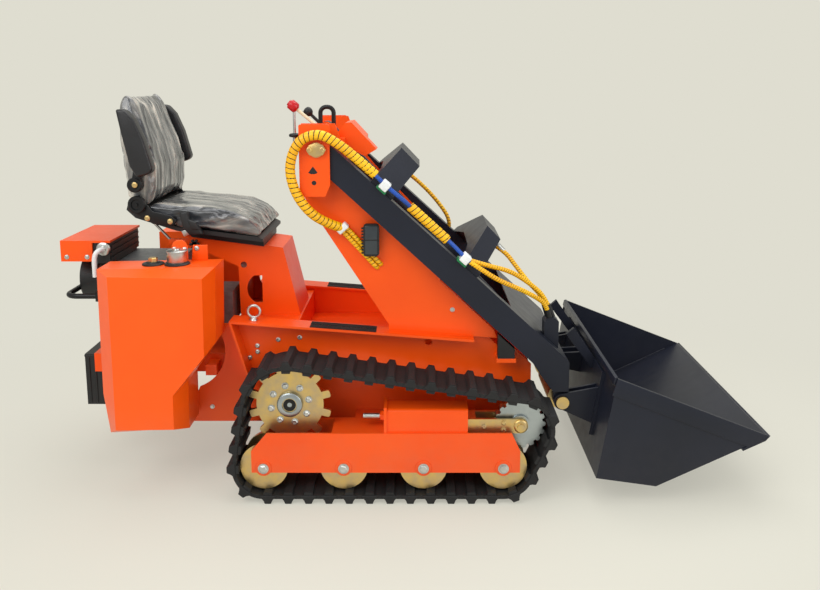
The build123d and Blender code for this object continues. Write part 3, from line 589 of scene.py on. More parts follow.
# Distance down from the tower clamp, and Y, for the two hoses that drop along the tower.
DROP = [(2, -318), (40, -313), (120, -311), (168, -311), (184, -309), (188, -300)]
ELBOW = [(330, -134, 846), (354, -138, 852), (368, -143, 834), (380, -145, 824)]


class LOADER_OT_hoses(bpy.types.Operator):
    """Hydraulic hoses in their yellow wraps"""

    bl_idname = "loader.hoses"
    bl_label = "Hoses"

    def execute(self, context):
        pitch = context.scene.loader_look.wrap_pitch / MM
        loop, line = wrapped(PIVOT_LOOP, BUNDLE_R, pitch, "pivot_hose_wrap", None)
        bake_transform(loop)
        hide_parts("pivot_hose")
        for side, offset in (("outer", -8), ("inner", 8)):
            points = [(x, HOSE_Y + offset, z) for x, z in (on_top(*place) for place in ARM_LINE)]
            blue, line = wrapped(points, LINE_R, pitch, f"arm_hose_{side}", "boom", 12, 14, 0.0, "blue")
            if side == "outer":
                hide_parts("boom_hoses")
        points = [(x, HOSE_Y, z) for x, z in (on_top(*place) for place in ARM_WRAP)]
        wrapped(points, BUNDLE_R, pitch, "arm_hose_wrap", "boom")
        for number, points in enumerate(TAILS, 1):
            tail, line = wrapped(points, HOSE_R, pitch * 0.55, f"coupler_hose_{number}", "boom", 70, 14, 1.2)
            ferrule = bar([line[k] / MM for k in (-1, -14, -32)], 10.5)
            finished(ferrule, f"coupler_ferrule_{number}", "rubber", "boom")
        for side, n in (("upper", 9), ("lower", -9)):
            points = [(x, y, z) for (x, z), y in ((by_clamp(s, n), y) for s, y in DROP)]
            drop, line = wrapped(points, HOSE_R, pitch * 0.8, f"tower_hose_{side}", "machine", 40, 14, 1.2)
        points = [(x, 332, z) for x, z in (on_top(*place) for place in LEFT_LINE)]
        far, line = wrapped(points, HOSE_R, pitch * 0.8, "left_arm_hose", "boom", 50, 14, 1.2)
        finished(bar(ELBOW, 10), "arch_elbow", "bright", "boom")
        return {"FINISHED"}


CLAMPS_X = (-73, 207)       # along the arm


class LOADER_OT_clamps(bpy.types.Operator):
    """White hose clamps on green feet"""

    bl_idname = "loader.clamps"
    bl_label = "Clamps"

    def execute(self, context):
        bands, feet = [], []
        for x in CLAMPS_X:
            band = [on_top(x - 12, 8), on_top(x + 12, 8), on_top(x + 12, 42), on_top(x - 12, 42)]
            foot = [on_top(x - 15, 0), on_top(x + 15, 0), on_top(x + 15, 12), on_top(x - 15, 12)]
            bands.append(rounded(prism(band, -384, -342), 4))
            feet.append(rounded(prism(foot, -378, -330), 3))
        finished(joined(bands), "arm_clamp_bands", "white", "boom")
        finished(joined(feet), "arm_clamp_feet", "green", "boom")
        tower = [by_clamp(-14, -21), by_clamp(10, -21), by_clamp(10, 21), by_clamp(-14, 21)]
        finished(rounded(prism(tower, -343, -302), 5), "tower_clamp", "white")
        return {"FINISHED"}


PAD_HALF = 224              # half of the pads' width
CREASE = 4.0                # height of the film's creases
CREASE_SEED = 1             # keeps the creases the same in every run
CUSHION = [
    (-926, 1005), (-692, 984), (-622, 972), (-556, 944), (-512, 904), (-517, 894), (-602, 905),
    (-815, 933), (-926, 978),
]
BACK = [
    (-922, 1003), (-908, 1054), (-905, 1146), (-923, 1222), (-950, 1300), (-969, 1364), (-985, 1403),
    (-1001, 1405), (-1010, 1382), (-1010, 1240), (-1002, 1138), (-986, 1014),
]
PAN = [(-925, 968), (-820, 926), (-600, 898), (-505, 887)]
SHOULDER_Z, SHOULDER_RISE = 1.2, 0.2    # where the back narrows and over what height, in metres
SHOULDER_TAPER = 0.17


def pan_top(x):
    """Height of the seat pan under the cushion."""
    for (x0, z0), (x1, z1) in zip(PAN, PAN[1:]):
        if x <= x1:
            return z0 + (z1 - z0) * (x - x0) / (x1 - x0)
    return PAN[-1][1]


def swollen(piece, cap):
    """Blows the pad up with cloth pressure, each point moved by cap at most."""
    before = [v.co.copy() for v in piece.data.vertices]
    only(piece)
    cloth = piece.modifiers.new("swell", "CLOTH").settings
    cloth.quality = 4
    cloth.use_pressure = True
    cloth.uniform_pressure_force = 4.0
    cloth.effector_weights.gravity = 0.0
    for step in range(1, 21):
        bpy.context.scene.frame_set(step)
    bpy.ops.object.modifier_apply(modifier="swell")
    for vertex, start in zip(piece.data.vertices, before):
        move = vertex.co - start
        if move.length > cap:
            vertex.co = start + move * (cap / move.length)
    bpy.context.scene.frame_set(1)


def creased(piece, streaks, height):
    """Creases of loose film: ridges drawn out along the pad."""
    piece.data.update()
    noise.seed_set(CREASE_SEED)
    moves = []
    for vertex in piece.data.vertices:
        place = Vector([along * stretch for along, stretch in zip(vertex.co, streaks)])
        bend = noise.noise_vector(place * 9.0) * 0.5
        ridge = 1.0 - abs(noise.noise(place * 14.0 + bend))
        small = 1.0 - abs(noise.noise(place * 32.0 + bend * 2.0))
        moves.append(vertex.normal * (height * MM * (ridge ** 3 * 0.8 + small ** 3 * 0.35 - 0.4)))
    for vertex, move in zip(piece.data.vertices, moves):
        vertex.co += move


def pad(points, cap, streaks):
    """A seat pad: rounded, remeshed, swollen and creased."""
    piece = rounded(prism(points, -PAD_HALF, PAD_HALF), 16, 4)
    only(piece)
    piece.data.remesh_voxel_size = 6 * MM
    bpy.ops.object.voxel_remesh()
    swollen(piece, cap)
    creased(piece, streaks, CREASE)
    return modified(piece, "SUBSURF", levels=1, render_levels=1)


class LOADER_OT_seat(bpy.types.Operator):
    """Seat cushion and back, padded, under creased clear film"""

    bl_idname = "loader.seat"
    bl_label = "Seat pads"

    def execute(self, context):
        cap = context.scene.loader_look.swell
        cushion = pad(CUSHION, cap, (0.5, 1.6, 1.2))
        for vertex in cushion.data.vertices:
            vertex.co.z = max(vertex.co.z, (pan_top(vertex.co.x / MM) + 1.5) * MM)
        back = pad(BACK, cap, (1.2, 1.6, 0.45))
        for vertex in back.data.vertices:
            rise = max(0.0, (vertex.co.z - SHOULDER_Z) / SHOULDER_RISE)
            vertex.co.y *= 1 - SHOULDER_TAPER * rise * rise
        for piece, name, key in ((cushion, "seat_cushion", "seat_film_and_highlights"), (back, "seat_back", "back_film_and_highlights")):
            finished(piece, f"{name}_pad", key, angle=180)
            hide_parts(name)
        return {"FINISHED"}


ARM_PAD = [
    (-1000, 1357), (-968, 1354), (-938, 1321), (-908, 1250), (-880, 1145), (-891, 1129), (-938, 1116),
    (-961, 1156), (-985, 1273),
]
ARM_LINK = [(-968, 1082), (-940, 1082), (-926, 1126), (-958, 1138)]
ARM_HUB = [(0, 24), (3, 27), (30, 27), (33, 24), (33, 14), (36, 13), (38, 9)]


class LOADER_OT_armrests(bpy.types.Operator):
    """Folded armrests: vinyl pads on steel links"""

    bl_idname = "loader.armrests"
    bl_label = "Armrests"

    def execute(self, context):
        cover = rounded(prism(ARM_PAD, -291, -238), 15, 5)
        hub = placed(turned(ARM_HUB), -954, -236, 1087, RIGHT)
        link = joined([rounded(prism(ARM_LINK, -264, -240), 4), hub])
        for side, piece, holder in (("right", cover, link), ("left", mirrored(cover), mirrored(link))):
            finished(piece, f"armrest_pad_{side}", "vinyl", f"armrest_{side}", 60)
            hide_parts(f"armrest_{side}")
            finished(holder, f"armrest_link_{side}", "black", f"armrest_{side}")
        return {"FINISHED"}


RECLINER = [
    (-990, 1010), (-972, 1042), (-940, 1036), (-905, 988), (-838, 972), (-816, 952), (-832, 934),
    (-905, 942), (-962, 978),
]
RECLINER_HUB = [(0, 32), (12, 32), (15, 29), (15, 20), (9, 19), (9, 6), (16, 5)]
BUCKLE = [(-802, 985), (-772, 992), (-764, 945), (-738, 940), (-718, 906), (-768, 902), (-792, 930)]
BELT = [(-770, 962), (-742, 952), (-730, 925), (-760, 925)]
TONGUE = [(-797, 918), (-773, 927), (-764, 908), (-788, 898)]
STAY = [(-956, -118, 948), (-920, -118, 910), (-872, -118, 856)]
KNOB_STEM = [(0, 6), (-14, 6), (-14, 9), (0, 12), (9, 12)]


class LOADER_OT_seat_fittings(bpy.types.Operator):
    """Recliner plates, belt buckle, stay and slide knob"""

    bl_idname = "loader.seat_fittings"
    bl_label = "Seat fittings"

    def execute(self, context):
        hub = placed(turned(RECLINER_HUB), -956, -237, 1014, RIGHT)
        plate = joined([rounded(prism(RECLINER, -237, -228), 3), hub])
        finished(both(plate), "recliner_plates", "black")
        buckle = joined([rounded(prism(BUCKLE, -258, -232), 6), rounded(prism(BELT, -262, -250), 3)])
        finished(buckle, "belt_buckle", "plastic")
        finished(rounded(prism(TONGUE, -256, -252), 1.5), "belt_tongue", "bright")
        finished(bar(STAY, 5), "seat_stay", "bright")
        finished(rounded(block(-884, -806, -124, -112, 842, 866), 4), "stay_bracket", "chassis")
        arms = [block(-5, 5, -19, 19, 0, 9) for _ in range(3)]
        for number, arm in enumerate(arms):
            arm.data.transform(Matrix.Rotation(number * math.tau / 6, 4, "Z"))
        knob = rounded(joined([turned(KNOB_STEM), *arms]), 2, 2)
        finished(placed(knob, -780, -141, 850, RIGHT), "slide_knob", "plastic")
        return {"FINISHED"}


DRIVE_LEVER = [(-262, -200, 1256), (-316, -200, 1302), (-382, -200, 1358)]
DRIVE_KNOB = [(-4, 10), (0, 16), (4, 19), (26, 19), (30, 17), (31, 12), (36, 11), (37, 4)]
BUCKET_LEVER = [(-262, -110, 1258), (-310, -110, 1304), (-345, -110, 1338)]
BUCKET_KNOB = [(-6, 7), (0, 14), (8, 17), (16, 17), (24, 13), (27, 5)]
BOOT = [(0, 17), (5, 17), (7, 14), (10, 15), (12, 11), (15, 12), (17, 7)]
BOOT_PLACES = ((-264, -200), (-262, -110))
THROTTLE = (-394, -150)
THROTTLE_ARM = [(-345, -150, 1247), (-375, -150, 1247), (-394, -150, 1250)]
THROTTLE_DISC = [(-2, 6), (0, 18), (3, 21), (9, 21), (12, 17), (14, 7)]
THROTTLE_ROD = [(-28, 5), (-26, 7), (-6, 7), (-4, 5), (86, 5), (88, 3)]


class LOADER_OT_controls(bpy.types.Operator):
    """Levers with their knobs and boots"""

    bl_idname = "loader.controls"
    bl_label = "Controls"

    def execute(self, context):
        finished(bar(DRIVE_LEVER, 6), "drive_lever_shaft", "cream")
        knob = placed(turned(DRIVE_KNOB, 20), -378, -200, 1355, (-132, 0, 110))
        finished(knob, "drive_lever_knob", "red")
        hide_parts("control_levers")
        knob = placed(turned(BUCKET_KNOB, 20), -340, -110, 1333.5, (-91, 0, 88))
        boots = [placed(turned(BOOT), x, y, 1257) for x, y in BOOT_PLACES]
        finished(joined([bar(BUCKET_LEVER, 6), knob, *boots]), "bucket_lever", "plastic")
        disc = placed(turned(THROTTLE_DISC, 10), *THROTTLE, 1251)
        finished(joined([disc, bar(THROTTLE_ARM, 5)]), "throttle_knob", "plastic")
        finished(placed(turned(THROTTLE_ROD, 14), *THROTTLE, 1258), "throttle_rod", "bright")
        return {"FINISHED"}


FILLER_X, FILTER, TANK_TOP = -869, (-783, -376), 821
FILLER_FLANGE = [(0, 38), (4, 38), (6, 35), (7, 24), (10, 22), (11, 14)]
FILTER_FOOT = [(0, 44), (5, 44), (8, 41), (9, 36)]
FILTER_CAN = [(0, 34), (2, 35), (36, 35), (37, 37), (42, 37), (44, 34), (45, 12), (49, 11)]
FILTER_PLATE = [
    (-812, 821), (-756, 821), (-756, 880), (-763, 893), (-775, 901), (-793, 901), (-805, 893), (-812, 880),
]
FILTER_BRACKET = [(-748, 822), (-690, 824), (-690, 880), (-742, 880)]


class LOADER_OT_tank_tops(bpy.types.Operator):
    """Filler caps, return filter and its bracket"""

    bl_idname = "loader.tank_tops"
    bl_label = "Tank tops"

    def execute(self, context):
        caps = strewn(turned(FILLER_FLANGE, 32), [facing(FILLER_X, y, TANK_TOP, UP) for y in (-370, 370)])
        finished(caps, "filler_flanges", "plastic")
        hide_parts("tank_fittings")
        nut = turned([(0, 16), (13, 16), (15, 14)], 6)
        nuts = strewn(nut, [facing(FILLER_X, y, TANK_TOP + 10, UP) for y in (-370, 370)])
        finished(nuts, "filler_nuts", "zinc", angle=20)
        finished(placed(turned(FILTER_FOOT, 36), *FILTER, TANK_TOP + 1), "filter_foot", "plastic")
        finished(placed(turned(FILTER_CAN, 36), *FILTER, TANK_TOP + 9), "filter_can", "bright")
        finished(rounded(prism(FILTER_PLATE, -336, -329), 2), "filter_plate", "tank")
        finished(rounded(prism(FILTER_BRACKET, -318, -311), 2), "filter_bracket", "tank")
        return {"FINISHED"}


def hex_bolt(radius, height):
    """A hexagon head on a round washer, foot at the origin."""
    washer = turned([(0, radius * 1.25), (radius * 0.2, radius * 1.25), (radius * 0.25, radius * 1.1)], 20)
    head = [(0, radius), (height * 0.85, radius), (height, radius * 0.8), (height * 0.96, radius * 0.45)]
    return joined([washer, turned(head, 6)])


def bolted(radius, height, turns, name, key):
    """Bolts of one size at every turn."""
    finished(strewn(hex_bolt(radius, height), turns), name, key, angle=25)


def middle(node):
    """The middle of a node's box, in millimetres."""
    return [(low + high) / 2 / MM for low, high in zip(*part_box(node))]


SPROCKET = (-392, 336)
SPROCKET_BOLTS = 8
ROLLERS = (-480, -201, 77, 355)
ROLLER_Z = 126
IDLER_Z = 266
FORK_Y = -477
HUB_RING = [(0, 44), (3, 46), (18, 44), (21, 40), (21, 26), (15, 24)]
HUB_SHAFT = [(0, 22), (17, 22), (17, 9), (12, 7)]
ROLLER_BOSS = [(0, 29), (2.5, 28), (3.5, 22)]
RAIL_BOLTS = [
    (-454, -280, 520), (-375, -280, 528), (-531, -280, 497), (-531, -280, 474), (-560, -280, 452),
    (-706, -280, 262), (182, -302, 639),
]
KEEPER = [
    (-324, 1222), (-314, 1240), (-290, 1248), (-266, 1240), (-256, 1222), (-266, 1205), (-290, 1198),
    (-314, 1205),
]
RECLINER_BOLTS = [(-923, -237, 963), (-841, -237, 951), (-950, -274, 1089)]
COVER_BOLTS = [
    (-1240, -200, 812), (-1165, -200, 812), (-802, -336, 868), (-766, -336, 868), (-728, -318, 868),
]
EYE_FOOT = [(0, 15), (3, 15), (5, 12), (10, 9)]
EYE_X, EYE_Y = -537, 307
AXLE_CAP = [(0, 24), (4, 24), (7, 20), (7, 13), (12, 12), (13, 8)]
SCREW = [(0, 7), (1, 10), (58, 10), (59, 8)]


class LOADER_OT_fasteners(bpy.types.Operator):
    """Bolts, hubs, keeper plates and lifting rings"""

    bl_idname = "loader.fasteners"
    bl_label = "Fasteners"

    def execute(self, context):
        bolted(15, 12, outwards([(x, -513.5, ROLLER_Z) for x in ROLLERS]), "roller_bolts", "bright")
        bosses = outwards([(x, -510, ROLLER_Z) for x in ROLLERS])
        finished(strewn(turned(ROLLER_BOSS, 28), bosses), "roller_bosses", "chassis")
        hubs = outwards([(SPROCKET[0], -440, SPROCKET[1])])
        finished(strewn(turned(HUB_RING, 40), hubs), "sprocket_hub_rings", "steel")
        finished(strewn(turned(HUB_SHAFT, 28), hubs), "sprocket_shafts", "black")
        places = []
        for k in range(SPROCKET_BOLTS):
            turn = math.tau * (k + 0.3) / SPROCKET_BOLTS
            places.append((SPROCKET[0] + 68 * math.cos(turn), -443, SPROCKET[1] + 68 * math.sin(turn)))
        bolted(10, 10, outwards(places), "sprocket_bolts", "bright")
        bolted(7, 6, outwards(RAIL_BOLTS), "rail_bolts", "bright")
        finished(both(rounded(prism(KEEPER, -385, -380), 1.5)), "pivot_keepers", "zinc")
        bolted(8, 6, outwards([(-312, -385, 1222), (-268, -385, 1222)]), "keeper_bolts", "zinc")
        bolted(8, 6, outwards(RECLINER_BOLTS), "recliner_bolts", "zinc")
        bolted(7, 5, [facing(*place, RIGHT) for place in COVER_BOLTS], "cover_bolts", "bright")
        self.lifting_rings()
        idler = middle("front_idlers")[0]
        caps = outwards([(idler, FORK_Y, IDLER_Z)])
        finished(strewn(turned(AXLE_CAP, 28), caps), "idler_axle_caps", "zinc")
        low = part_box("track_tensioners")[0]
        height = middle("track_tensioners")[2] - 4
        screws = [facing(low[0] / MM - 1, y, height, (1, 0, 0)) for y in (-450, 450)]
        finished(strewn(turned(SCREW, 20), screws), "tension_screws", "bright")
        places = [(idler - 128, FORK_Y, IDLER_Z), (idler - 60, FORK_Y, 280), (idler - 60, FORK_Y, 252)]
        bolted(8, 7, outwards(places), "fork_bolts", "zinc")
        return {"FINISHED"}

    def lifting_rings(self):
        foot = turned(EYE_FOOT, 24)
        begin()
        bpy.ops.mesh.primitive_torus_add(
            major_radius=22 * MM, minor_radius=5.2 * MM, major_segments=40, minor_segments=14)
        ring = bpy.context.object
        ring.data.transform(Matrix.Translation((0, 0, 32 * MM)) @ Matrix.Rotation(math.pi / 2, 4, "X"))
        lean = Matrix.Rotation(math.atan(RAIL_SLOPE), 4, "Y")
        turns = []
        for y in (-EYE_Y, EYE_Y):
            turns.append(Matrix.Translation(Vector((EYE_X, y, rail_top(EYE_X))) * MM) @ lean)
        eyes = finished(strewn(joined([foot, ring]), turns), "lifting_rings", "bright", angle=60)
        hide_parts("lifting_eyes")


PITCH, LINKS, TEETH = 71.0, 37, 12
ROLLER_R, IDLER_R = 81.5, 87.5      # of the track's pitch line
TRACK_EDGES = (525, 345)
FLARE = [(-29, 14), (29, 14), (15, 32), (11, 43), (-11, 43), (-15, 32)]


def wheel_runs():
    """The track's pitch line: each wheel's arc, then the straight run to the next wheel."""
    wheels = [
        (ROLLERS[0], ROLLER_Z, ROLLER_R),
        (ROLLERS[-1], ROLLER_Z, ROLLER_R),
        (middle("front_idlers")[0], IDLER_Z, IDLER_R),
        (*SPROCKET, TEETH * PITCH / math.tau),
    ]
    angles = []
    for (x0, z0, r0), (x1, z1, r1) in zip(wheels, wheels[1:] + wheels[:1]):
        lean = math.asin((r0 - r1) / math.hypot(x1 - x0, z1 - z0))
        angles.append(math.atan2(z1 - z0, x1 - x0) - math.pi / 2 + lean)
    runs = []
    for i, (x, z, r) in enumerate(wheels):
        first, last = angles[i - 1], angles[i]
        while last < first:
            last += math.tau
        nx, nz, nr = wheels[(i + 1) % len(wheels)]
        straight = math.hypot(nx - x + (nr - r) * math.cos(last), nz - z + (nr - r) * math.sin(last))
        runs.append((x, z, r, first, last, straight))
    return runs


def line_length(runs):
    return sum(r * (last - first) + straight for _, _, r, first, last, straight in runs)


def on_track(runs, s):
    """X, Z and outward angle of the place s along the pitch line."""
    s %= line_length(runs)
    for x, z, r, first, last, straight in runs:
        if s < r * (last - first):
            angle = first + s / r
            return x + r * math.cos(angle), z + r * math.sin(angle), angle
        s -= r * (last - first)
        if s < straight:
            across, along = math.cos(last), math.sin(last)
            return x + r * across - s * along, z + r * along + s * across, last
        s -= straight


class LOADER_OT_track_edges(bpy.types.Operator):
    """Flared buttresses of the lugs on the tracks' edges"""

    bl_idname = "loader.track_edges"
    bl_label = "Track edges"

    def execute(self, context):
        runs = wheel_runs()
        sprocket_r, sprocket_first = runs[3][2], runs[3][3]
        start = line_length(runs[:3]) + sprocket_r * (math.pi - sprocket_first)
        for side, sign in (("right", -1), ("left", 1)):
            turns = []
            for k in range(LINKS):
                x, z, angle = on_track(runs, start + k * PITCH)
                out_x, out_z = math.cos(angle), math.sin(angle)
                turn = Matrix(((out_z, 0, out_x), (0, 1, 0), (-out_x, 0, out_z))).to_4x4()
                for y in TRACK_EDGES:
                    turn.translation = Vector((x, sign * y, z)) * MM
                    turns.append(turn.copy())
            flare = rounded(prism(FLARE, -4, 4), 1.5, 1)
            finished(strewn(flare, turns), f"track_flares_{side}", "track", angle=30)
        return {"FINISHED"}


SIDE_STRIP = [(736, 459), (718, 400), (1130, 238), (1178, 220), (1190, 214), (1262, 252)]
BLADE = [(1268, 255), (1172, 207), (1176, 199), (1252, 236)]
TOP_LIP = [(727, 460), (738, 463), (733, 434), (722, 436)]
SIDE_WELDS = [((700, 118), (780, 104), (882, 84)), ((896, 86), (1040, 152), (1200, 232))]
WELD_Y = 519


class LOADER_OT_bucket_trim(bpy.types.Operator):
    """Wear strips, cutting edge and welds of the bucket"""

    bl_idname = "loader.bucket_trim"
    bl_label = "Bucket trim"

    def execute(self, context):
        strips = both(rounded(prism(SIDE_STRIP, -534, -529.5), 1.5, 2))
        blade = rounded(prism(BLADE, -534, 534), 1.5, 2)
        lip = rounded(prism(TOP_LIP, -526, 526), 1.5, 2)
        finished(joined([strips, blade, lip]), "bucket_edges", "boom", "bucket")
        welds = [bar([(884, -512, 79), (886, 0, 79), (884, 512, 79)], 3)]
        for y in (-WELD_Y, WELD_Y):
            welds += [bar([(x, y, z) for x, z in line], 3) for line in SIDE_WELDS]
        finished(joined(welds), "bucket_welds", "boom", "bucket")
        return {"FINISHED"}


STRIP_X = (-330, -92)
STRIPS_Y = ((-346, -312), (-306, -272))
# Outline of the dark patch laid over each bracket's triangular hole: painted shade standing in for the hole.
BRACKET_HOLE_SHADE = [(-320, 1143), (-303, 1166), (-286, 1143), (-296, 1138), (-310, 1138)]


class LOADER_OT_trim(bpy.types.Operator):
    """Grip strips, painted shade in the bracket holes, lamp fins and lenses"""

    bl_idname = "loader.trim"
    bl_label = "Trim"

    def execute(self, context):
        ends = [(x, rail_top(x)) for x in STRIP_X]
        outline = ends + [(x, z + 2) for x, z in reversed(ends)]
        strips = [both(rounded(prism(outline, y0, y1), 0.6, 1)) for y0, y1 in STRIPS_Y]
        finished(joined(strips), "grip_strips", "grit")
        # Dark rubber patches over the brackets' triangular and round holes are painted shade standing in for
        # the holes.
        hole_shade_patch = rounded(prism(BRACKET_HOLE_SHADE, -372.6, -369), 1, 1)
        round_hole_shade_patch = placed(turned([(0, 8), (3, 8)], 20), -300, -369.6, 1108, RIGHT)
        finished(both(joined([hole_shade_patch, round_hole_shade_patch])), "bracket_hole_shade_patches", "rubber")
        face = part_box("work_lamps")[0][1] / MM
        fins = [rounded(block(-142, -134, face + 3, face + 17, z, z + 5), 1, 1) for z in range(852, 948, 11)]
        fins += [rounded(block(-132, -82, face - 4, face, z, z + 4), 1, 1) for z in (846, 900, 952)]
        finished(both(joined(fins)), "lamp_fins", "plastic")
        lens = rounded(block(-129, -85, face - 3, face + 1, 850, 952), 2, 2)
        finished(both(lens), "lamp_lenses", "lens")
        return {"FINISHED"}


GRILLE_RIM = [(0, 86), (6, 84), (10, 72), (10, 66), (5, 64)]
GRILLE_RINGS = (56, 40, 24)
BREATHER_SOCKET = [(0, 24), (3, 25), (9, 25), (12, 21), (12, 12), (18, 11)]
BREATHER_PIPE = [
    (-1105, -205, 842), (-1112, -228, 842), (-1124, -236, 826), (-1126, -238, 790), (-1126, -236, 745),
]


class LOADER_OT_engine_trim(bpy.types.Operator):
    """Fins, starter grille, breather pipe and battery lid"""

    bl_idname = "loader.engine_trim"
    bl_label = "Engine trim"

    def execute(self, context):
        fins = [rounded(block(-1125, -875, -178, -168, z, z + 9), 2, 1) for z in range(500, 740, 22)]
        finished(both(joined(fins)), "engine_fins", "cast")
        grille = [turned(GRILLE_RIM, 40)]
        for r in GRILLE_RINGS:
            grille.append(turned([(3, r), (7, r), (8, r - 2), (8, r - 6), (3, r - 7)], 36))
        for number in range(3):
            spoke = block(-3, 3, -66, 66, 3, 7)
            spoke.data.transform(Matrix.Rotation(number * math.pi / 3, 4, "Z"))
            grille.append(spoke)
        finished(placed(joined(grille), -1239, 0, 694, (-1, 0, 0)), "starter_grille", "plastic")
        finished(placed(turned(BREATHER_SOCKET, 28), -1105, -190, 842, RIGHT), "breather_socket", "bright")
        finished(bar(BREATHER_PIPE, 9), "breather_pipe", "white")
        lid = rounded(block(-1197, -998, -212, -38, 430, 440), 3)
        ribs = [rounded(block(x, x + 8, -213, -209, 250, 428), 2, 1) for x in range(-1185, -1005, 24)]
        finished(joined([lid, *ribs]), "battery_lid", "plastic")
        return {"FINISHED"}


AIMED_AT = (0, 0, 0.5)
LAMPS = [
    # Name, place in metres, aim, size, share of the key's power
    ("key", (-2.2, -3.4, 3.6), AIMED_AT, 3.0, 1.0),
    ("fill", (3.2, -2.6, 2.2), AIMED_AT, 3.0, 0.5),
    ("top", (0.2, 0.6, 4.2), (0, 0, 0.4), 3.5, 0.8),
]
CAMERA_AT, CAMERA_TILT, CAMERA_LENS, CAMERA_SHIFT = (0.058, -3.350, 1.468), 80, 38.2, (-0.0098, -0.079)


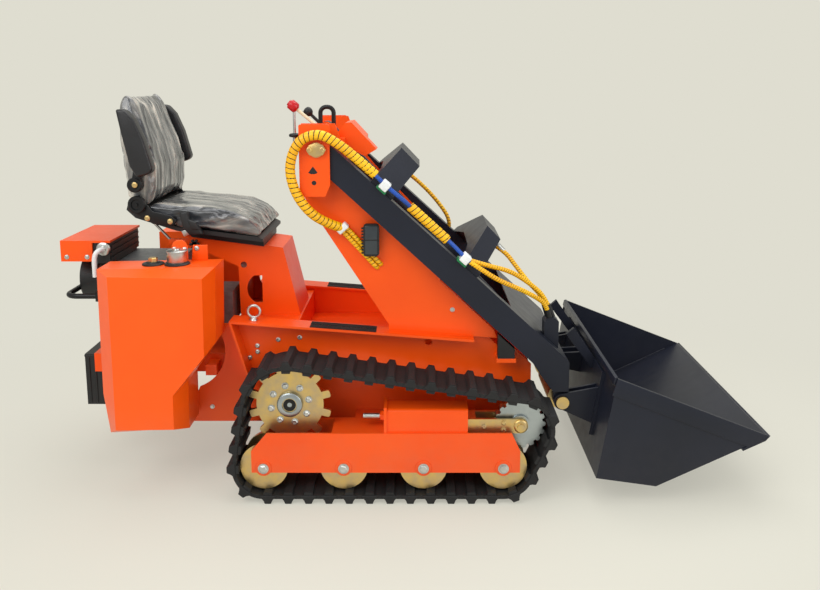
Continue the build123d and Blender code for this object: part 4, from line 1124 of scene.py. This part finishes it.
class LOADER_OT_stage(bpy.types.Operator):
    """Floor, backdrop, lamps and camera"""

    bl_idname = "loader.stage"
    bl_label = "Stage"

    def execute(self, context):
        look = context.scene.loader_look
        self.floor(context, look)
        world = bpy.data.worlds.new("studio_air")
        context.scene.world = world
        world.use_nodes = True
        self.air(world.node_tree, look)
        for name, spot, target, size, share in LAMPS:
            bpy.ops.object.light_add(type="AREA", location=spot)
            lamp = context.object
            lamp.name = name
            lamp.data.size = size
            lamp.data.energy = look.key_power * share
            lamp.rotation_euler = (Vector(target) - Vector(spot)).to_track_quat("-Z", "Y").to_euler()
        bpy.ops.object.camera_add(location=CAMERA_AT, rotation=(math.radians(CAMERA_TILT), 0, 0))
        camera = context.object
        camera.data.lens = CAMERA_LENS
        camera.data.shift_x, camera.data.shift_y = CAMERA_SHIFT
        context.scene.camera = camera
        context.scene.view_settings.view_transform = "Standard"
        return {"FINISHED"}

    def floor(self, context, look):
        """A floor swept up into a wall at the back."""
        begin()
        bpy.ops.mesh.primitive_plane_add(size=16, location=(0, 1, 0))
        floor = context.object
        floor.name = "studio_floor"
        bpy.ops.object.mode_set(mode="EDIT")
        bpy.ops.mesh.select_mode(type="EDGE")
        bpy.ops.mesh.select_all(action="DESELECT")
        bpy.ops.object.mode_set(mode="OBJECT")
        for edge in floor.data.edges:
            edge.select = all(floor.data.vertices[v].co.y > 7 for v in edge.vertices)
        bpy.ops.object.mode_set(mode="EDIT")
        bpy.ops.mesh.extrude_region_move(TRANSFORM_OT_translate={"value": (0, 0, 9)})
        bpy.ops.object.mode_set(mode="OBJECT")
        modified(floor, "BEVEL", width=3.0, segments=24)
        bpy.ops.object.shade_smooth()
        bpy.ops.object.transform_apply(location=True, rotation=True, scale=True)
        floor.data.materials.append(self.paper(look))

    def air(self, tree, look):
        # Soft white studio air: lights the object from all round, and is seen as the backdrop's colour.
        light = tree.nodes["Background"]
        light.inputs["Color"].default_value = linear("#F2F1EC")
        light.inputs["Strength"].default_value = 0.6
        seen = add(tree, "ShaderNodeBackground", [("Color", look.backdrop), ("Strength", 1.0)])
        rays = add(tree, "ShaderNodeLightPath").outputs
        mixed = add(tree, "ShaderNodeMixShader", [
            ("Fac", rays["Is Camera Ray"]), (1, light.outputs["Background"]),
            (2, seen.outputs["Background"])])
        tree.links.new(mixed.outputs["Shader"], tree.nodes["World Output"].inputs["Surface"])

    def paper(self, look):
        # Matt paper: takes the object's shadow near it and shows its own even colour further off.
        paper, tree, shader, place = surface("matt_paper_backdrop")
        shader.inputs["Base Color"].default_value = look.backdrop
        shader.inputs["Roughness"].default_value = 0.9
        off = add(tree, "ShaderNodeVectorMath", [(0, place)], operation="LENGTH").outputs["Value"]
        far = add(tree, "ShaderNodeMapRange", [
            ("Value", off), ("From Min", 1.2), ("From Max", 2.6), ("To Min", 0.55), ("To Max", 1.0)])
        rays = add(tree, "ShaderNodeLightPath").outputs
        seen = add(tree, "ShaderNodeMath", [
            (0, rays["Is Camera Ray"]), (1, rays["Is Glossy Ray"])], operation="MAXIMUM")
        seen = add(tree, "ShaderNodeMath", [
            (0, seen.outputs["Value"]), (1, rays["Is Transmission Ray"])], operation="MAXIMUM")
        share = add(tree, "ShaderNodeMath", [
            (0, far.outputs["Result"]), (1, seen.outputs["Value"])], operation="MULTIPLY")
        glow = add(tree, "ShaderNodeEmission", [("Color", look.backdrop), ("Strength", 1.0)])
        mixed = add(tree, "ShaderNodeMixShader", [
            ("Fac", share.outputs["Value"]), (1, shader.outputs["BSDF"]), (2, glow.outputs["Emission"])])
        tree.links.new(mixed.outputs["Shader"], tree.nodes["Material Output"].inputs["Surface"])
        return paper


OPERATORS = [
    LOADER_OT_finishes, LOADER_OT_hoses, LOADER_OT_clamps, LOADER_OT_seat, LOADER_OT_armrests,
    LOADER_OT_seat_fittings, LOADER_OT_controls, LOADER_OT_tank_tops, LOADER_OT_fasteners,
    LOADER_OT_track_edges, LOADER_OT_bucket_trim, LOADER_OT_trim, LOADER_OT_engine_trim, LOADER_OT_stage,
]


class LOADER_PT_panel(bpy.types.Panel):
    """Lists the loader's pieces"""

    bl_label = "Tracked mini loader"
    bl_space_type = "VIEW_3D"
    bl_region_type = "UI"
    bl_category = "Loader"

    def draw(self, context):
        look = context.scene.loader_look
        for key in look.__annotations__:
            self.layout.prop(look, key)
        for piece in OPERATORS:
            self.layout.operator(piece.bl_idname)


CLASSES = [LoaderLook, *OPERATORS, LOADER_PT_panel]


def register():
    for piece in CLASSES:
        bpy.utils.register_class(piece)
    bpy.types.Scene.loader_look = bpy.props.PointerProperty(type=LoaderLook)


def unregister():
    del bpy.types.Scene.loader_look
    for piece in reversed(CLASSES):
        bpy.utils.unregister_class(piece)


def main():
    register()
    bpy.ops.loader.finishes()
    bpy.ops.loader.hoses()
    bpy.ops.loader.clamps()
    bpy.ops.loader.seat()
    bpy.ops.loader.armrests()
    bpy.ops.loader.seat_fittings()
    bpy.ops.loader.controls()
    bpy.ops.loader.tank_tops()
    bpy.ops.loader.fasteners()
    bpy.ops.loader.track_edges()
    bpy.ops.loader.bucket_trim()
    bpy.ops.loader.trim()
    bpy.ops.loader.engine_trim()
    bpy.ops.loader.stage()


if __name__ == "__main__":
    main()
